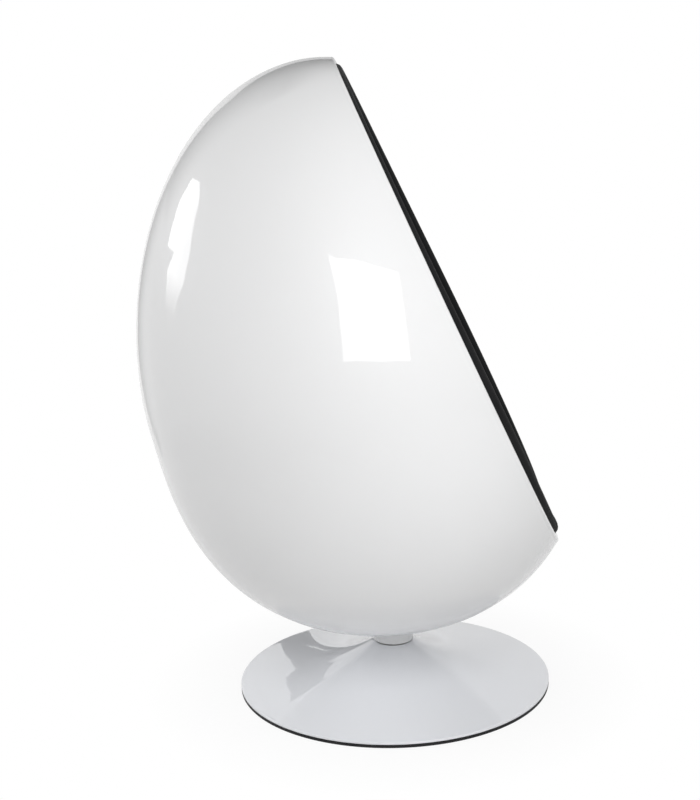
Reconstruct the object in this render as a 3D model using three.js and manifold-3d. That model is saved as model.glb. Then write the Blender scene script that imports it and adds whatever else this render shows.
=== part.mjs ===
// A swivelling pod lounge chair: a moulded egg shell, cut open by a leaning plane, lined and
// cushioned inside, that turns on a steel post inside a shallow trumpet base.
// Millimetres, +Z up. The origin is on the floor under the swivel axis, and the opening faces -Y.

import * as THREE from 'three';
import { mergeVertices } from 'three/addons/utils/BufferGeometryUtils.js';
import Module from 'manifold-3d';

const wasm = await Module();
wasm.setup();

// Clearances
const fitGap = 0.3; // between rigid pieces that touch
const softGap = 0.5; // between a soft piece and what it lies on
const runGap = 0.5; // between pieces that turn against each other
const cutOver = 6; // how far a cutter runs past what it cuts
const weld = 1e-4; // vertices closer than this are one

// The egg: where its middle is, how far it reaches each way, and how full each end is
const eggMiddleY = 30;
const eggStandoff = 135; // floor to the egg's lower tip, as it would be without its lean
const eggLeanDegrees = 12.4;
const eggUp = 618;
const eggDown = 536;
const eggBack = 456;
const eggFront = 402;
const eggSide = 436;
const upPower = 1.83;
const downPower = 2.78;
const backPower = 1.96;
const frontPower = 2.03;
const sidePower = 2;

// The opening: a plane that leans back, so far in front of the egg's middle
const openingTiltDegrees = 23.6;
const openingForward = 195;

// Shell, a glass-fibre moulding with a thicker rounded rim
const shellWall = 6;
const rimWall = 10;

// Lining and the padded roll inside the rim
const linerThickness = 22;
const rollDepth = 26;
const rollWidth = 30;
const rollProudTop = 0.5;
const rollProudLip = 6;
const rollProudSide = 6.6; // what the sides bulge beyond the line from top to lip
const rollPower = 2.6;

// Floor pad, a rubber pan whose rim shows as the dark ring under the base
const baseRadius = 320;
const padFloor = 3;
const padRimHeight = 7;
const padRimWidth = 16;

// Trumpet base
const baseEdge = 4.4;
const baseEdgeRound = 3;
const neckRadius = 41;
const neckTop = 92;
const neckSleeveWall = 4;
const neckSleeveDepth = 20;
const trumpetWall = 5;
const flareShare = 0.45;
const flarePower = 4;
const neckCrowdingShare = 0.8; // under 1 crowds the outline's points towards the neck

// Ballast plate and the screws that hold the trumpet down on it
const ballastGap = 1.7; // between the plate's upper edge and the trumpet's inside
const ballastThickness = 10;
const baseScrewCount = 6;
const baseScrewInset = 28; // from the plate's edge
const baseScrewRadius = 2.4;
const baseScrewHeadRadius = 5.5;
const baseScrewHeadHeight = 3;
const baseScrewGrip = 6;
const bossRadius = 9;

// Post: a flanged steel tube with a shoulder for the thrust bearing
const footRadius = 90;
const footThickness = 10;
const shoulderDrop = 10; // below the neck's top
const neckRingWall = 3.4;
const shoulderStep = 10.5;
const postWall = 7.5;
const postChamfer = 2;
const postEnd = 11; // how far the post stands above the hub
const gussetThickness = 6;
const gussetBelowSleeve = 12.4;
const gussetReach = 50;
const footBoltCount = 4; // with a gusset between each two
const footBoltInset = 22; // from the foot's edge
const footBoltRadius = 5;
const footBoltHead = 9.2; // to the corners
const footBoltHeadHeight = 6.4;
const washerRadius = 10.5;
const washerThickness = 2;

// Thrust bearing
const raceSetback = 1; // from the shoulder's edge
const raceThickness = 3.3;
const ballRadius = 3.9;
const ballCount = 8;
const cageThickness = 2.6;
const cageWidth = 6;

// Hub, collar and the clamp that holds the shell on the hub
const bushWall = 3.7;
const hubWall = 4.5;
const hubAboveBlock = 64;
const hubFlangeThickness = 8;
const swivelGap = 3; // between the neck and the collar
const collarWall = 3;
const bushLength = 30;
const blockThickness = 32.6; // over the hub's flange
const blockEdge = 6.6; // its thickness at its edge, over the shell
const plateThickness = 6;
const clampWasherMargin = 4; // round the nut's corners
const clampWasherThickness = 3;
const nutRadius = 46; // to the corners
const nutHeight = 14;
const nutChamfer = 3;
const plateScrewCount = 6;
const plateScrewInset = 25; // from the plate's edge
const plateScrewRadius = 3;
const plateScrewHeadRadius = 6;
const plateScrewHeadHeight = 3.4;
const plateScrewTipGap = 3.1; // over the shell
const retainWasherThickness = 2;
const clipThickness = 2.5;
const clipReach = 5;
const clipGrooveDepth = 2.2;
const clipOpening = 10;

// Seat: covered foam block, seat cushion and back cushion
const linerHoleGap = 10; // round the bedding block
const seatTiltDegrees = 4;
const seatMiddleBehindEgg = 20;
const seatFoamBelowLip = 20;
const pocketGap = 10;
const seatSeamLow = 16;
const seatSeamHigh = 92;
const seatCrown = 30;
const seatSideGap = 6;
const seatFrontSetback = 34;
const cornerPower = 7;
const sideDrawnInShare = 0.985;
const crownPower = 3; // how far out a cushion's crown stays full
const crownEase = 0.65; // how round it falls to the seam
const backThickness = 105;
const backSeam = 34;
const backSideGap = 4;
const backHalfWidthDegrees = 31;
const backHighDegrees = 45;
const backSeamAboveSeat = 11.7; // its lower seam over the seat cushion's upper one
const backCornerPower = 3.6;
const backRearPower = 8; // the back cushion's rear lies flat on the lining until near its seam

// Facet counts
const eggSides = 44;
const eggRings = 11;
const baseSides = 40;
const hubSides = 28;
const postSides = 24;
const smallSides = 10;
const hexSides = 6;
const cushionSides = 36;
const rollSides = 10;
const rimSteps = 4;
const trumpetSteps = 8;
const halvings = 44; // steps of a search by halving

// Sizes that follow from those
const eggMiddleZ = eggStandoff + eggDown;
const shoulderRadius = neckRadius - neckSleeveWall - neckRingWall - 2 * fitGap;
const postRadius = shoulderRadius - shoulderStep;
const postBore = postRadius - postWall;
const raceRadius = shoulderRadius - raceSetback;
const hubBore = postRadius + runGap + bushWall + fitGap;
const hubRadius = hubBore + hubWall;
const shoulderTop = neckTop - shoulderDrop;
const footBoltCircle = footRadius - footBoltInset;
const clampWasherRadius = nutRadius + clampWasherMargin;

const degrees = Math.PI / 180;
const acrossX = new THREE.Vector3(1, 0, 0);
const up = new THREE.Vector3(0, 0, 1);

// Geometry helpers

// Gives a geometry as one indexed closed mesh whose faces point out.
function closed(geometry) {
  const bare = geometry.clone();
  bare.deleteAttribute('normal');
  bare.deleteAttribute('uv');
  const merged = mergeVertices(bare, weld);
  const place = merged.getAttribute('position');
  const corner = [new THREE.Vector3(), new THREE.Vector3(), new THREE.Vector3()];
  const faces = [];
  let volume = 0;
  for (let i = 0; i < merged.index.count; i += 3) {
    const face = [merged.index.getX(i), merged.index.getX(i + 1), merged.index.getX(i + 2)];
    if (face[0] === face[1] || face[1] === face[2] || face[2] === face[0]) continue;
    face.forEach((vertex, k) => corner[k].fromBufferAttribute(place, vertex));
    volume += corner[0].dot(corner[1].clone().cross(corner[2]));
    faces.push(face);
  }
  merged.setIndex(faces.flatMap((face) => (volume < 0 ? [face[0], face[2], face[1]] : face)));
  return merged;
}

function toSolid(geometry) {
  const mesh = closed(geometry);
  return new wasm.Manifold(new wasm.Mesh({
    numProp: 3,
    vertProperties: new Float32Array(mesh.getAttribute('position').array),
    triVerts: new Uint32Array(mesh.index.array),
  }));
}

function fromSolid(solid) {
  const mesh = solid.getMesh();
  const geometry = new THREE.BufferGeometry();
  geometry.setAttribute('position', new THREE.BufferAttribute(mesh.vertProperties, 3));
  geometry.setIndex(new THREE.BufferAttribute(mesh.triVerts, 1));
  return geometry;
}

function cut(geometry, ...cutters) {
  const left = cutters.reduce((solid, cutter) => solid.subtract(toSolid(cutter)), toSolid(geometry));
  return fromSolid(left);
}

function join(geometry, ...others) {
  return fromSolid(others.reduce((solid, other) => solid.add(toSolid(other)), toSolid(geometry)));
}

function overlapOf(geometry, other) {
  return fromSolid(toSolid(geometry).intersect(toSolid(other)));
}

// Turns a closed outline of [radius, height] pairs about the vertical axis.
function turned(outline, sides = hubSides) {
  const points = outline.map(([radius, height]) => new THREE.Vector2(radius, height));
  if (outline[0][0] > 0) points.push(points[0].clone());
  return closed(new THREE.LatheGeometry(points, sides).rotateX(Math.PI / 2));
}

function ring(inner, outer, low, high, sides = hubSides) {
  return turned([[inner, low], [outer, low], [outer, high], [inner, high]], sides);
}

function disc(radius, low, high, sides = hubSides) {
  return turned([[0, low], [radius, low], [radius, high], [0, high]], sides);
}

function moved(geometry, x, y, z) {
  return geometry.clone().translate(x, y, z);
}

function middleOf(points) {
  const sum = points.reduce((total, point) => total.add(point), new THREE.Vector3());
  return sum.divideScalar(points.length);
}

// Joins loops of points into one closed skin. A loop of one point is a pole. Each four-sided
// patch is split where it bulges most from a centre, so that skins inside each other split alike.
function skin(loops, wraps = false, centre = middleOf(loops.flat())) {
  const positions = [];
  const points = loops.flat();
  const bulge = (one, other) => points[one].clone().lerp(points[other], 0.5).distanceTo(centre);
  const starts = loops.map((loop) => {
    const start = positions.length / 3;
    loop.forEach((point) => positions.push(point.x, point.y, point.z));
    return start;
  });
  const faces = [];
  const pairs = wraps ? loops.length : loops.length - 1;
  for (let i = 0; i < pairs; i += 1) {
    const j = (i + 1) % loops.length;
    const count = Math.max(loops[i].length, loops[j].length);
    for (let k = 0; k < count; k += 1) {
      const next = (k + 1) % count;
      const a = starts[i] + (loops[i].length > 1 ? k : 0);
      const b = starts[i] + (loops[i].length > 1 ? next : 0);
      const c = starts[j] + (loops[j].length > 1 ? next : 0);
      const d = starts[j] + (loops[j].length > 1 ? k : 0);
      if (a === b) faces.push(a, c, d);
      else if (c === d) faces.push(a, b, c);
      else if (bulge(a, c) > bulge(b, d)) faces.push(a, b, c, a, c, d);
      else faces.push(a, b, d, b, c, d);
    }
  }
  const geometry = new THREE.BufferGeometry();
  geometry.setAttribute('position', new THREE.Float32BufferAttribute(positions, 3));
  geometry.setIndex(faces);
  return closed(geometry);
}

// Pan-headed screw or bolt along the vertical axis, its head's seat at height seat.
// facing is 1 with the head on top, and -1 with the head below.
function screw(seat, facing, headRadius, headHeight, shankRadius, length, headSides) {
  const head = disc(headRadius, ...inOrder(seat, seat + facing * headHeight), headSides);
  const shankEnds = inOrder(seat - facing * length, seat + (facing * headHeight) / 2);
  return join(head, disc(shankRadius, ...shankEnds, smallSides));
}

function inOrder(one, other) {
  return one < other ? [one, other] : [other, one];
}

// The last value on the way from near to far for which a test holds.
function lastHeld(near, far, test) {
  let held = near;
  let failed = far;
  for (let i = 0; i < halvings; i += 1) {
    const middle = (held + failed) / 2;
    if (test(middle)) held = middle;
    else failed = middle;
  }
  return held;
}

function roundCircle(count, radius, startTurn, make) {
  return Array.from({ length: count }, (_, i) => {
    const turn = startTurn + (i / count) * 2 * Math.PI;
    return make(i + 1, radius * Math.cos(turn), radius * Math.sin(turn), turn);
  });
}

// The egg

const lean = eggLeanDegrees * degrees;
const tilt = openingTiltDegrees * degrees;
const eggMiddle = new THREE.Vector3(0, eggMiddleY, eggMiddleZ);
const eggAxis = new THREE.Vector3(0, Math.sin(lean), Math.cos(lean));
const eggForward = new THREE.Vector3(0, -Math.cos(lean), Math.sin(lean));
const openingNormal = new THREE.Vector3(0, -Math.cos(tilt), Math.sin(tilt));
const openingUp = new THREE.Vector3(0, Math.sin(tilt), Math.cos(tilt));
const openingMiddle = eggMiddle.clone().addScaledVector(openingNormal, openingForward);
const eggSpan = eggUp + eggDown + eggBack + eggFront;

// Below 1 inside the egg's skin, drawn in by inset all round, and above 1 outside.
function eggValue(point, inset) {
  const from = point.clone().sub(eggMiddle);
  const high = from.dot(eggAxis);
  const ahead = from.dot(eggForward);
  const upShare = high > 0 ? high / (eggUp - inset) : -high / (eggDown - inset);
  const aheadShare = ahead > 0 ? ahead / (eggFront - inset) : -ahead / (eggBack - inset);
  return upShare ** (high > 0 ? upPower : downPower)
    + aheadShare ** (ahead > 0 ? frontPower : backPower)
    + Math.abs(from.x / (eggSide - inset)) ** sidePower;
}

// How far a ray from inside runs until it meets that skin.
function eggReach(start, direction, inset) {
  return lastHeld(0, eggSpan, (along) => (
    eggValue(start.clone().addScaledVector(direction, along), inset) < 1));
}

// A point of that skin: turn goes round the opening from its top, depth is how far behind the
// opening the ray starts, and dip is how far it points back from the opening's plane.
function eggPoint(turn, depth, dip, inset) {
  const start = openingMiddle.clone().addScaledVector(openingNormal, -depth);
  const direction = openingUp.clone().multiplyScalar(Math.cos(turn) * Math.cos(dip))
    .addScaledVector(acrossX, Math.sin(turn) * Math.cos(dip))
    .addScaledVector(openingNormal, -Math.sin(dip));
  return start.addScaledVector(direction, eggReach(start, direction, inset));
}

const turns = Array.from({ length: eggSides }, (_, i) => (i / eggSides) * 2 * Math.PI);
const dips = Array.from({ length: eggRings }, (_, i) => ((i + 1) / eggRings) * (Math.PI / 2));

function eggLoop(depth, dip, inset) {
  return (dip === Math.PI / 2 ? [0] : turns).map((turn) => eggPoint(turn, depth, dip, inset));
}

// The loops of a skin from the roll's depth back to the pole. Its first loop may have its own inset.
function eggBowl(inset, firstInset = inset) {
  return [eggLoop(rollDepth, 0, firstInset), ...dips.map((dip) => eggLoop(rollDepth, dip, inset))];
}

// The whole closed egg, as a cutter or a core
function eggCore(inset, depth) {
  const loops = [0, ...dips].map((dip) => eggLoop(depth, dip, inset));
  const middle = openingMiddle.clone().addScaledVector(openingNormal, -depth);
  return skin([[middle], ...loops], false, eggMiddle);
}

// The height at which a vertical line meets the egg's underside
function undersideHeight(x, y, inset) {
  const start = new THREE.Vector3(x, y, eggMiddleZ);
  return eggMiddleZ - eggReach(start, up.clone().negate(), inset);
}

// The highest that the shell's inside lies on a circle about the swivel axis
function floorOfShell(radius) {
  const heights = turns.map((turn) => (
    undersideHeight(radius * Math.sin(turn), radius * Math.cos(turn), shellWall)));
  return Math.max(...heights);
}

// Pod: shell, lining and roll

const rimRound = rimWall / 2;
const rollWall = (rimWall + shellWall) / 2; // the shell's wall where the roll ends
const linerInset = shellWall + softGap;
const cavityInset = linerInset + linerThickness;
const lip = eggPoint(Math.PI, 0, 0, 0);
const seatFoamTop = lip.z - seatFoamBelowLip;

function makeShell() {
  const outer = [eggLoop(rimRound, 0, 0), ...eggBowl(0)];
  const inner = [eggLoop(rimRound, 0, rimWall), ...eggBowl(shellWall, rollWall)];
  const rim = Array.from({ length: rimSteps - 1 }, (_, i) => {
    const swing = ((i + 1) / rimSteps) * Math.PI;
    return turns.map((_turn, k) => {
      const middle = outer[0][k].clone().add(inner[0][k]).multiplyScalar(0.5);
      return middle.clone()
        .addScaledVector(outer[0][k].clone().sub(middle), Math.cos(swing))
        .addScaledVector(openingNormal, rimRound * Math.sin(swing));
    });
  });
  const shell = skin([...outer.reverse(), ...rim, ...inner], false, eggMiddle);
  return cut(shell, disc(hubRadius + fitGap, collarBottom, blockTop));
}

function makeLiner() {
  const outer = eggBowl(linerInset, rollWall + softGap);
  const inner = eggBowl(cavityInset);
  const hole = disc(linerHoleRadius, collarBottom, seatFoamTop);
  return cut(skin([...outer.reverse(), ...inner], false, eggMiddle), hole);
}

// How far the roll stands proud of the rim
function rollProud(turn) {
  const down = (1 - Math.cos(turn)) / 2;
  return rollProudTop + (rollProudLip - rollProudTop) * down + rollProudSide * Math.sin(turn) ** 2;
}

function makeRoll() {
  const power = 2 / rollPower;
  const rounded = (value) => Math.sign(value) * Math.abs(value) ** power;
  const loops = turns.map((turn) => {
    const front = rollProud(turn);
    const back = -(rollDepth - softGap);
    const outward = openingUp.clone().multiplyScalar(Math.cos(turn))
      .addScaledVector(acrossX, Math.sin(turn));
    return Array.from({ length: rollSides }, (_, i) => {
      const angle = ((i + 0.5) / rollSides) * 2 * Math.PI;
      const ahead = (front + back) / 2 + ((front - back) / 2) * rounded(Math.sin(angle));
      const inward = (rollWidth / 2) * (1 - rounded(Math.cos(angle)));
      const wall = eggPoint(turn, Math.max(-ahead, 0), 0, rimWall + softGap);
      return wall.addScaledVector(openingNormal, Math.max(ahead, 0)).addScaledVector(outward, -inward);
    });
  });
  return skin(loops, true);
}

// Base: floor pad, ballast plate, trumpet, post and their fasteners

const ballastBottom = padFloor + fitGap;
const ballastTop = ballastBottom + ballastThickness;
const trumpetBottom = padRimHeight + fitGap;
const trumpetEdgeTop = trumpetBottom + baseEdge;
const ballastRadius = lastHeld(neckRadius, baseRadius, (radius) => (
  trumpetEdgeTop + trumpetRise(radius) - trumpetWall > ballastTop + ballastGap));
const baseScrewCircle = ballastRadius - baseScrewInset;

function trumpetRise(radius) {
  const along = (baseRadius - radius) / (baseRadius - neckRadius);
  return (neckTop - trumpetEdgeTop) * ((1 - flareShare) * along + flareShare * along ** flarePower);
}

function makeFloorPad() {
  const innerRadius = baseRadius - padRimWidth;
  return turned([[0, 0], [baseRadius, 0], [baseRadius, padRimHeight], [innerRadius, padRimHeight],
    [innerRadius, padFloor], [0, padFloor]], baseSides);
}

function makeTrumpet() {
  const slopeStart = baseRadius - baseEdgeRound;
  const outer = Array.from({ length: trumpetSteps + 1 }, (_, i) => {
    const along = (i / trumpetSteps) ** neckCrowdingShare;
    const radius = slopeStart - along * (slopeStart - neckRadius);
    return [radius, trumpetEdgeTop + trumpetRise(radius)];
  });
  const inner = outer.slice(1, -1).reverse().map(([radius, height]) => [radius, height - trumpetWall]);
  const sleeveInner = neckRadius - neckSleeveWall;
  const outline = [
    [baseRadius - padRimWidth, trumpetBottom],
    [baseRadius, trumpetBottom],
    [baseRadius, trumpetEdgeTop - baseEdgeRound / 2],
    ...outer,
    [sleeveInner, neckTop],
    [sleeveInner, neckTop - neckSleeveDepth],
    [neckRadius, neckTop - neckSleeveDepth],
    [neckRadius, neckTop - trumpetWall - baseEdgeRound],
    ...inner,
  ];
  const bosses = roundCircle(baseScrewCount, baseScrewCircle, 0, (_, x, y) => {
    const skinHeight = trumpetEdgeTop + trumpetRise(baseScrewCircle + bossRadius);
    return moved(disc(bossRadius, ballastTop + fitGap, skinHeight - trumpetWall / 2, smallSides), x, y, 0);
  });
  const pilotTop = ballastTop + fitGap + baseScrewGrip + fitGap;
  const pilots = roundCircle(baseScrewCount, baseScrewCircle, 0, (_, x, y) => (
    moved(disc(baseScrewRadius + fitGap, ballastBottom, pilotTop, smallSides), x, y, 0)));
  return cut(join(turned(outline, baseSides), ...bosses), ...pilots);
}

function makeBallast() {
  const holes = [
    ...roundCircle(baseScrewCount, baseScrewCircle, 0, (_, x, y) => join(
      moved(disc(baseScrewRadius + fitGap, 0, ballastTop + cutOver, smallSides), x, y, 0),
      moved(disc(baseScrewHeadRadius + fitGap, 0, baseScrewSeat + fitGap, smallSides), x, y, 0),
    )),
    ...roundCircle(footBoltCount, footBoltCircle, Math.PI / footBoltCount, (_, x, y) => (
      moved(disc(footBoltRadius + fitGap, 0, ballastTop + cutOver, smallSides), x, y, 0))),
  ];
  return cut(disc(ballastRadius, ballastBottom, ballastTop, baseSides), ...holes);
}

const baseScrewSeat = ballastBottom + fitGap + baseScrewHeadHeight;
const footBottom = ballastTop + fitGap;
const footTop = footBottom + footThickness;
const footMiddle = footBottom + footThickness / 2;
const gussetTop = neckTop - neckSleeveDepth - gussetBelowSleeve;
const footBoltSeat = footTop + 2 * fitGap + washerThickness;
const lowerRaceBottom = shoulderTop + fitGap;
const ballMiddle = lowerRaceBottom + raceThickness + fitGap + ballRadius;
const upperRaceBottom = ballMiddle + ballRadius + fitGap;
const hubBottom = upperRaceBottom + raceThickness + fitGap;
const collarBottom = neckTop + swivelGap;
const hubFlangeTop = undersideLowest() - fitGap;
const blockTop = hubFlangeTop + blockThickness;
const blockRadius = lastHeld(hubRadius, eggSide, (radius) => (
  floorOfShell(radius) + blockEdge < blockTop));
const linerHoleRadius = blockRadius + linerHoleGap;
const hubTop = blockTop + hubAboveBlock;
const retainWasherBottom = hubTop + fitGap;
const clipBottom = retainWasherBottom + retainWasherThickness + fitGap;
const postTop = hubTop + postEnd;

// The lowest height of the shell's underside over the collar's disc
function undersideLowest() {
  const lineShares = [-1, -0.75, -0.5, -0.25, 0, 0.25, 0.5, 0.75, 1];
  return Math.min(...lineShares.map((share) => undersideHeight(0, share * neckRadius, 0)));
}

function makePost() {
  const grooveRadius = postRadius - clipGrooveDepth;
  const body = turned([
    [postBore, footBottom], [footRadius, footBottom], [footRadius, footTop], [shoulderRadius, footTop],
    [shoulderRadius, shoulderTop], [postRadius, shoulderTop],
    [postRadius, clipBottom - fitGap], [grooveRadius, clipBottom - fitGap],
    [grooveRadius, clipBottom + clipThickness + fitGap], [postRadius, clipBottom + clipThickness + fitGap],
    [postRadius, postTop - postChamfer], [postRadius - postChamfer, postTop], [postBore, postTop],
  ], postSides);
  const gussets = roundCircle(footBoltCount, 0, 0, (_, x, y, turn) => {
    const outline = new THREE.Shape();
    const start = (postBore + shoulderRadius) / 2;
    outline.moveTo(start, footMiddle);
    outline.lineTo(shoulderRadius + gussetReach, footMiddle);
    outline.lineTo(shoulderRadius + gussetReach, footTop + gussetThickness);
    outline.lineTo(shoulderRadius + gussetThickness, gussetTop);
    outline.lineTo(start, gussetTop);
    const plate = new THREE.ExtrudeGeometry(outline, { depth: gussetThickness, bevelEnabled: false });
    return plate.translate(0, 0, -gussetThickness / 2).rotateX(Math.PI / 2).rotateZ(turn);
  });
  const holes = roundCircle(footBoltCount, footBoltCircle, Math.PI / footBoltCount, (_, x, y) => (
    moved(disc(footBoltRadius + fitGap, ballastBottom, footTop + cutOver, smallSides), x, y, 0)));
  return cut(join(body, ...gussets), ...holes);
}

function makeClip() {
  const inner = postRadius - clipGrooveDepth + fitGap;
  const full = ring(inner, postRadius + clipReach, clipBottom, clipBottom + clipThickness, postSides);
  const mouth = new THREE.BoxGeometry(clipOpening, 2 * postRadius + clipReach, clipThickness + 2 * cutOver);
  return cut(full, mouth.translate(0, -postRadius - clipReach / 2, clipBottom));
}

function makeBallCage() {
  const middleRadius = (postRadius + runGap + raceRadius) / 2;
  const cage = ring(middleRadius - cageWidth / 2, middleRadius + cageWidth / 2,
    ballMiddle - cageThickness / 2, ballMiddle + cageThickness / 2, postSides);
  const balls = roundCircle(ballCount, middleRadius, 0, (_, x, y) => (
    new THREE.IcosahedronGeometry(ballRadius, 1).translate(x, y, ballMiddle)));
  return join(cage, ...balls);
}

// Hub and clamp

function makeHub() {
  const flangeRadius = neckRadius - collarWall - fitGap;
  return turned([
    [hubBore, hubBottom], [hubRadius, hubBottom], [hubRadius, hubFlangeTop - hubFlangeThickness],
    [flangeRadius, hubFlangeTop - hubFlangeThickness], [flangeRadius, hubFlangeTop],
    [hubRadius, hubFlangeTop], [hubRadius, hubTop], [hubBore, hubTop],
  ]);
}

function makeCollar() {
  const tube = ring(neckRadius - collarWall, neckRadius, collarBottom, blockTop);
  return cut(tube, eggCore(-fitGap, rollDepth));
}

function makeBlock() {
  const blank = disc(blockRadius, collarBottom, blockTop);
  const bedded = overlapOf(blank, eggCore(shellWall + fitGap, rollDepth));
  const screwHoles = plateScrewHoles(plateScrewTip - fitGap);
  return cut(bedded, disc(hubRadius + fitGap, collarBottom, blockTop + cutOver), ...screwHoles);
}

const plateBottom = blockTop + fitGap;
const plateTop = plateBottom + plateThickness;
const clampWasherBottom = plateTop + fitGap;
const nutBottom = clampWasherBottom + clampWasherThickness + fitGap;
const plateScrewSeat = plateTop + fitGap;
const plateScrewCircle = blockRadius - plateScrewInset;
const plateScrewTip = floorOfShell(plateScrewCircle + plateScrewRadius) + plateScrewTipGap;

function plateScrewHoles(low) {
  return roundCircle(plateScrewCount, plateScrewCircle, Math.PI / plateScrewCount, (_, x, y) => (
    moved(disc(plateScrewRadius + fitGap, low, plateTop + cutOver, smallSides), x, y, 0)));
}

function makeNut() {
  const top = nutBottom + nutHeight;
  const flat = nutRadius * Math.cos(Math.PI / hexSides);
  const blank = disc(nutRadius, nutBottom, top, hexSides);
  const rounding = turned([[0, nutBottom], [nutRadius, nutBottom], [nutRadius, top - nutChamfer],
    [flat, top], [0, top]]);
  return cut(overlapOf(blank, rounding), disc(hubRadius + fitGap, plateBottom, top + cutOver));
}

// Seat

const seatTilt = seatTiltDegrees * degrees;
const seatUp = new THREE.Vector3(0, Math.sin(seatTilt), Math.cos(seatTilt));
const seatRear = new THREE.Vector3(0, Math.cos(seatTilt), -Math.sin(seatTilt));
const seatMiddle = new THREE.Vector3(0, eggMiddleY + seatMiddleBehindEgg, seatFoamTop);

function seatPoint(x, rear, height) {
  return seatMiddle.clone().addScaledVector(acrossX, x).addScaledVector(seatRear, rear)
    .addScaledVector(seatUp, height);
}

function makeSeatBase() {
  const slab = new THREE.BoxGeometry(2 * eggSide, 2 * eggSpan, seatFoamTop)
    .translate(0, 0, -seatFoamTop / 2)
    .rotateX(-seatTilt)
    .translate(seatMiddle.x, seatMiddle.y, seatMiddle.z);
  const core = eggCore(cavityInset + softGap, rollDepth + softGap);
  const platePocket = disc(linerHoleRadius, collarBottom, plateScrewSeat + plateScrewHeadHeight + softGap);
  const nutPocket = disc(nutRadius + pocketGap, collarBottom, nutBottom + nutHeight + pocketGap);
  const postPocket = disc(hubRadius + pocketGap, collarBottom, postTop + pocketGap);
  return cut(overlapOf(core, slab), platePocket, nutPocket, postPocket);
}

// How far the seat reaches from its middle at an angle and a height, without its corners sharp
function seatReach(angle, height, grow) {
  const start = seatPoint(0, 0, height);
  const direction = seatRear.clone().multiplyScalar(Math.cos(angle))
    .addScaledVector(acrossX, Math.sin(angle));
  const toWall = eggReach(start, direction, cavityInset + seatSideGap);
  const ahead = direction.dot(openingNormal);
  const toFront = -seatFrontSetback - start.clone().sub(openingMiddle).dot(openingNormal);
  const frontTerm = ahead > 0 ? (ahead / toFront) ** cornerPower : 0;
  return (toWall ** -cornerPower + frontTerm) ** (-1 / cornerPower) + grow;
}

const cushionAngles = Array.from({ length: cushionSides }, (_, i) => (i / cushionSides) * 2 * Math.PI);

function makeSeatCushion(grow = 0) {
  const loop = (outlineHeight, share, height) => cushionAngles.map((angle) => {
    const out = seatReach(angle, outlineHeight, grow) * share;
    return seatPoint(out * Math.sin(angle), out * Math.cos(angle), height);
  });
  const low = softGap - grow;
  const sideLow = (2 * seatSeamLow + seatSeamHigh) / 3;
  const sideHigh = (seatSeamLow + 2 * seatSeamHigh) / 3;
  const bottomShares = [0.5, 0.9];
  const bottomEdgeShare = 0.97;
  const topShares = [0.95, 0.86, 0.7, 0.5, 0.25];
  const crownAt = (share) => seatSeamHigh + seatCrown * (1 - share ** crownPower) ** crownEase + grow;
  return skin([
    [seatPoint(0, 0, low)],
    ...bottomShares.map((share) => loop(seatSeamLow, share, low)),
    loop(seatSeamLow, bottomEdgeShare, low + seatSeamLow / 3),
    loop(seatSeamLow, 1, seatSeamLow),
    loop(sideLow, sideDrawnInShare, sideLow),
    loop(sideHigh, sideDrawnInShare, sideHigh),
    loop(seatSeamHigh, 1, seatSeamHigh),
    ...topShares.map((share) => loop(seatSeamHigh, share, crownAt(share))),
    [seatPoint(0, 0, crownAt(0))],
  ]);
}

// How high over the seat foam the back cushion's seam lies, where its rays dip by an angle
function backSeamHeight(dip) {
  const direction = openingNormal.clone().multiplyScalar(-Math.cos(dip))
    .addScaledVector(openingUp, -Math.sin(dip));
  const distance = eggReach(openingMiddle, direction, cavityInset + backSideGap) - backSeam;
  return openingMiddle.clone().addScaledVector(direction, distance).sub(seatMiddle).dot(seatUp);
}

const backRise = backHighDegrees * degrees;
const backDip = lastHeld(0, Math.PI / 2, (dip) => (
  backSeamHeight(dip) > seatSeamHigh + backSeamAboveSeat));

// A point of the back cushion: out is its share from the middle to the seam, inward its depth
function backPoint(angle, out, inward) {
  const cornerTerms = [Math.cos(angle), Math.sin(angle)].map((term) => Math.abs(term) ** backCornerPower);
  const corner = (cornerTerms[0] + cornerTerms[1]) ** (-1 / backCornerPower);
  const middleRise = (backRise - backDip) / 2;
  const halfRise = (backRise + backDip) / 2;
  const side = backHalfWidthDegrees * degrees * out * corner * Math.sin(angle);
  const rise = middleRise + halfRise * out * corner * Math.cos(angle);
  const direction = openingNormal.clone().multiplyScalar(-Math.cos(rise) * Math.cos(side))
    .addScaledVector(acrossX, Math.cos(rise) * Math.sin(side))
    .addScaledVector(openingUp, Math.sin(rise));
  const distance = eggReach(openingMiddle, direction, cavityInset + backSideGap) - inward;
  return openingMiddle.clone().addScaledVector(direction, distance);
}

function makeBackCushion() {
  const loop = (out, inward) => cushionAngles.map((angle) => backPoint(angle, out, inward));
  const rearShares = [0.35, 0.7, 0.88, 0.96];
  const frontShares = [0.97, 0.9, 0.78, 0.6, 0.4, 0.2];
  const rear = (share) => backSeam * share ** backRearPower;
  const front = (share) => backSeam + (backThickness - backSeam) * (1 - share ** crownPower) ** crownEase;
  const pillow = skin([
    [backPoint(0, 0, 0)],
    ...rearShares.map((share) => loop(share, rear(share))),
    loop(1, backSeam),
    ...frontShares.map((share) => loop(share, front(share))),
    [backPoint(0, 0, front(0))],
  ]);
  return cut(pillow, makeSeatCushion(softGap));
}

// The chair

const finishes = {
  gloss: { color: 0xf2f3f4, roughness: 0.08, metalness: 0 },
  rubber: { color: 0x141414, roughness: 0.7, metalness: 0 },
  fabric: { color: 0x1a1a1c, roughness: 0.95, metalness: 0 },
  steel: { color: 0x9a9da0, roughness: 0.35, metalness: 1 },
  darkSteel: { color: 0x2a2b2d, roughness: 0.5, metalness: 0.6 },
  nylon: { color: 0xe8e4d8, roughness: 0.5, metalness: 0 },
  plywood: { color: 0xb98f5e, roughness: 0.7, metalness: 0 },
};

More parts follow.
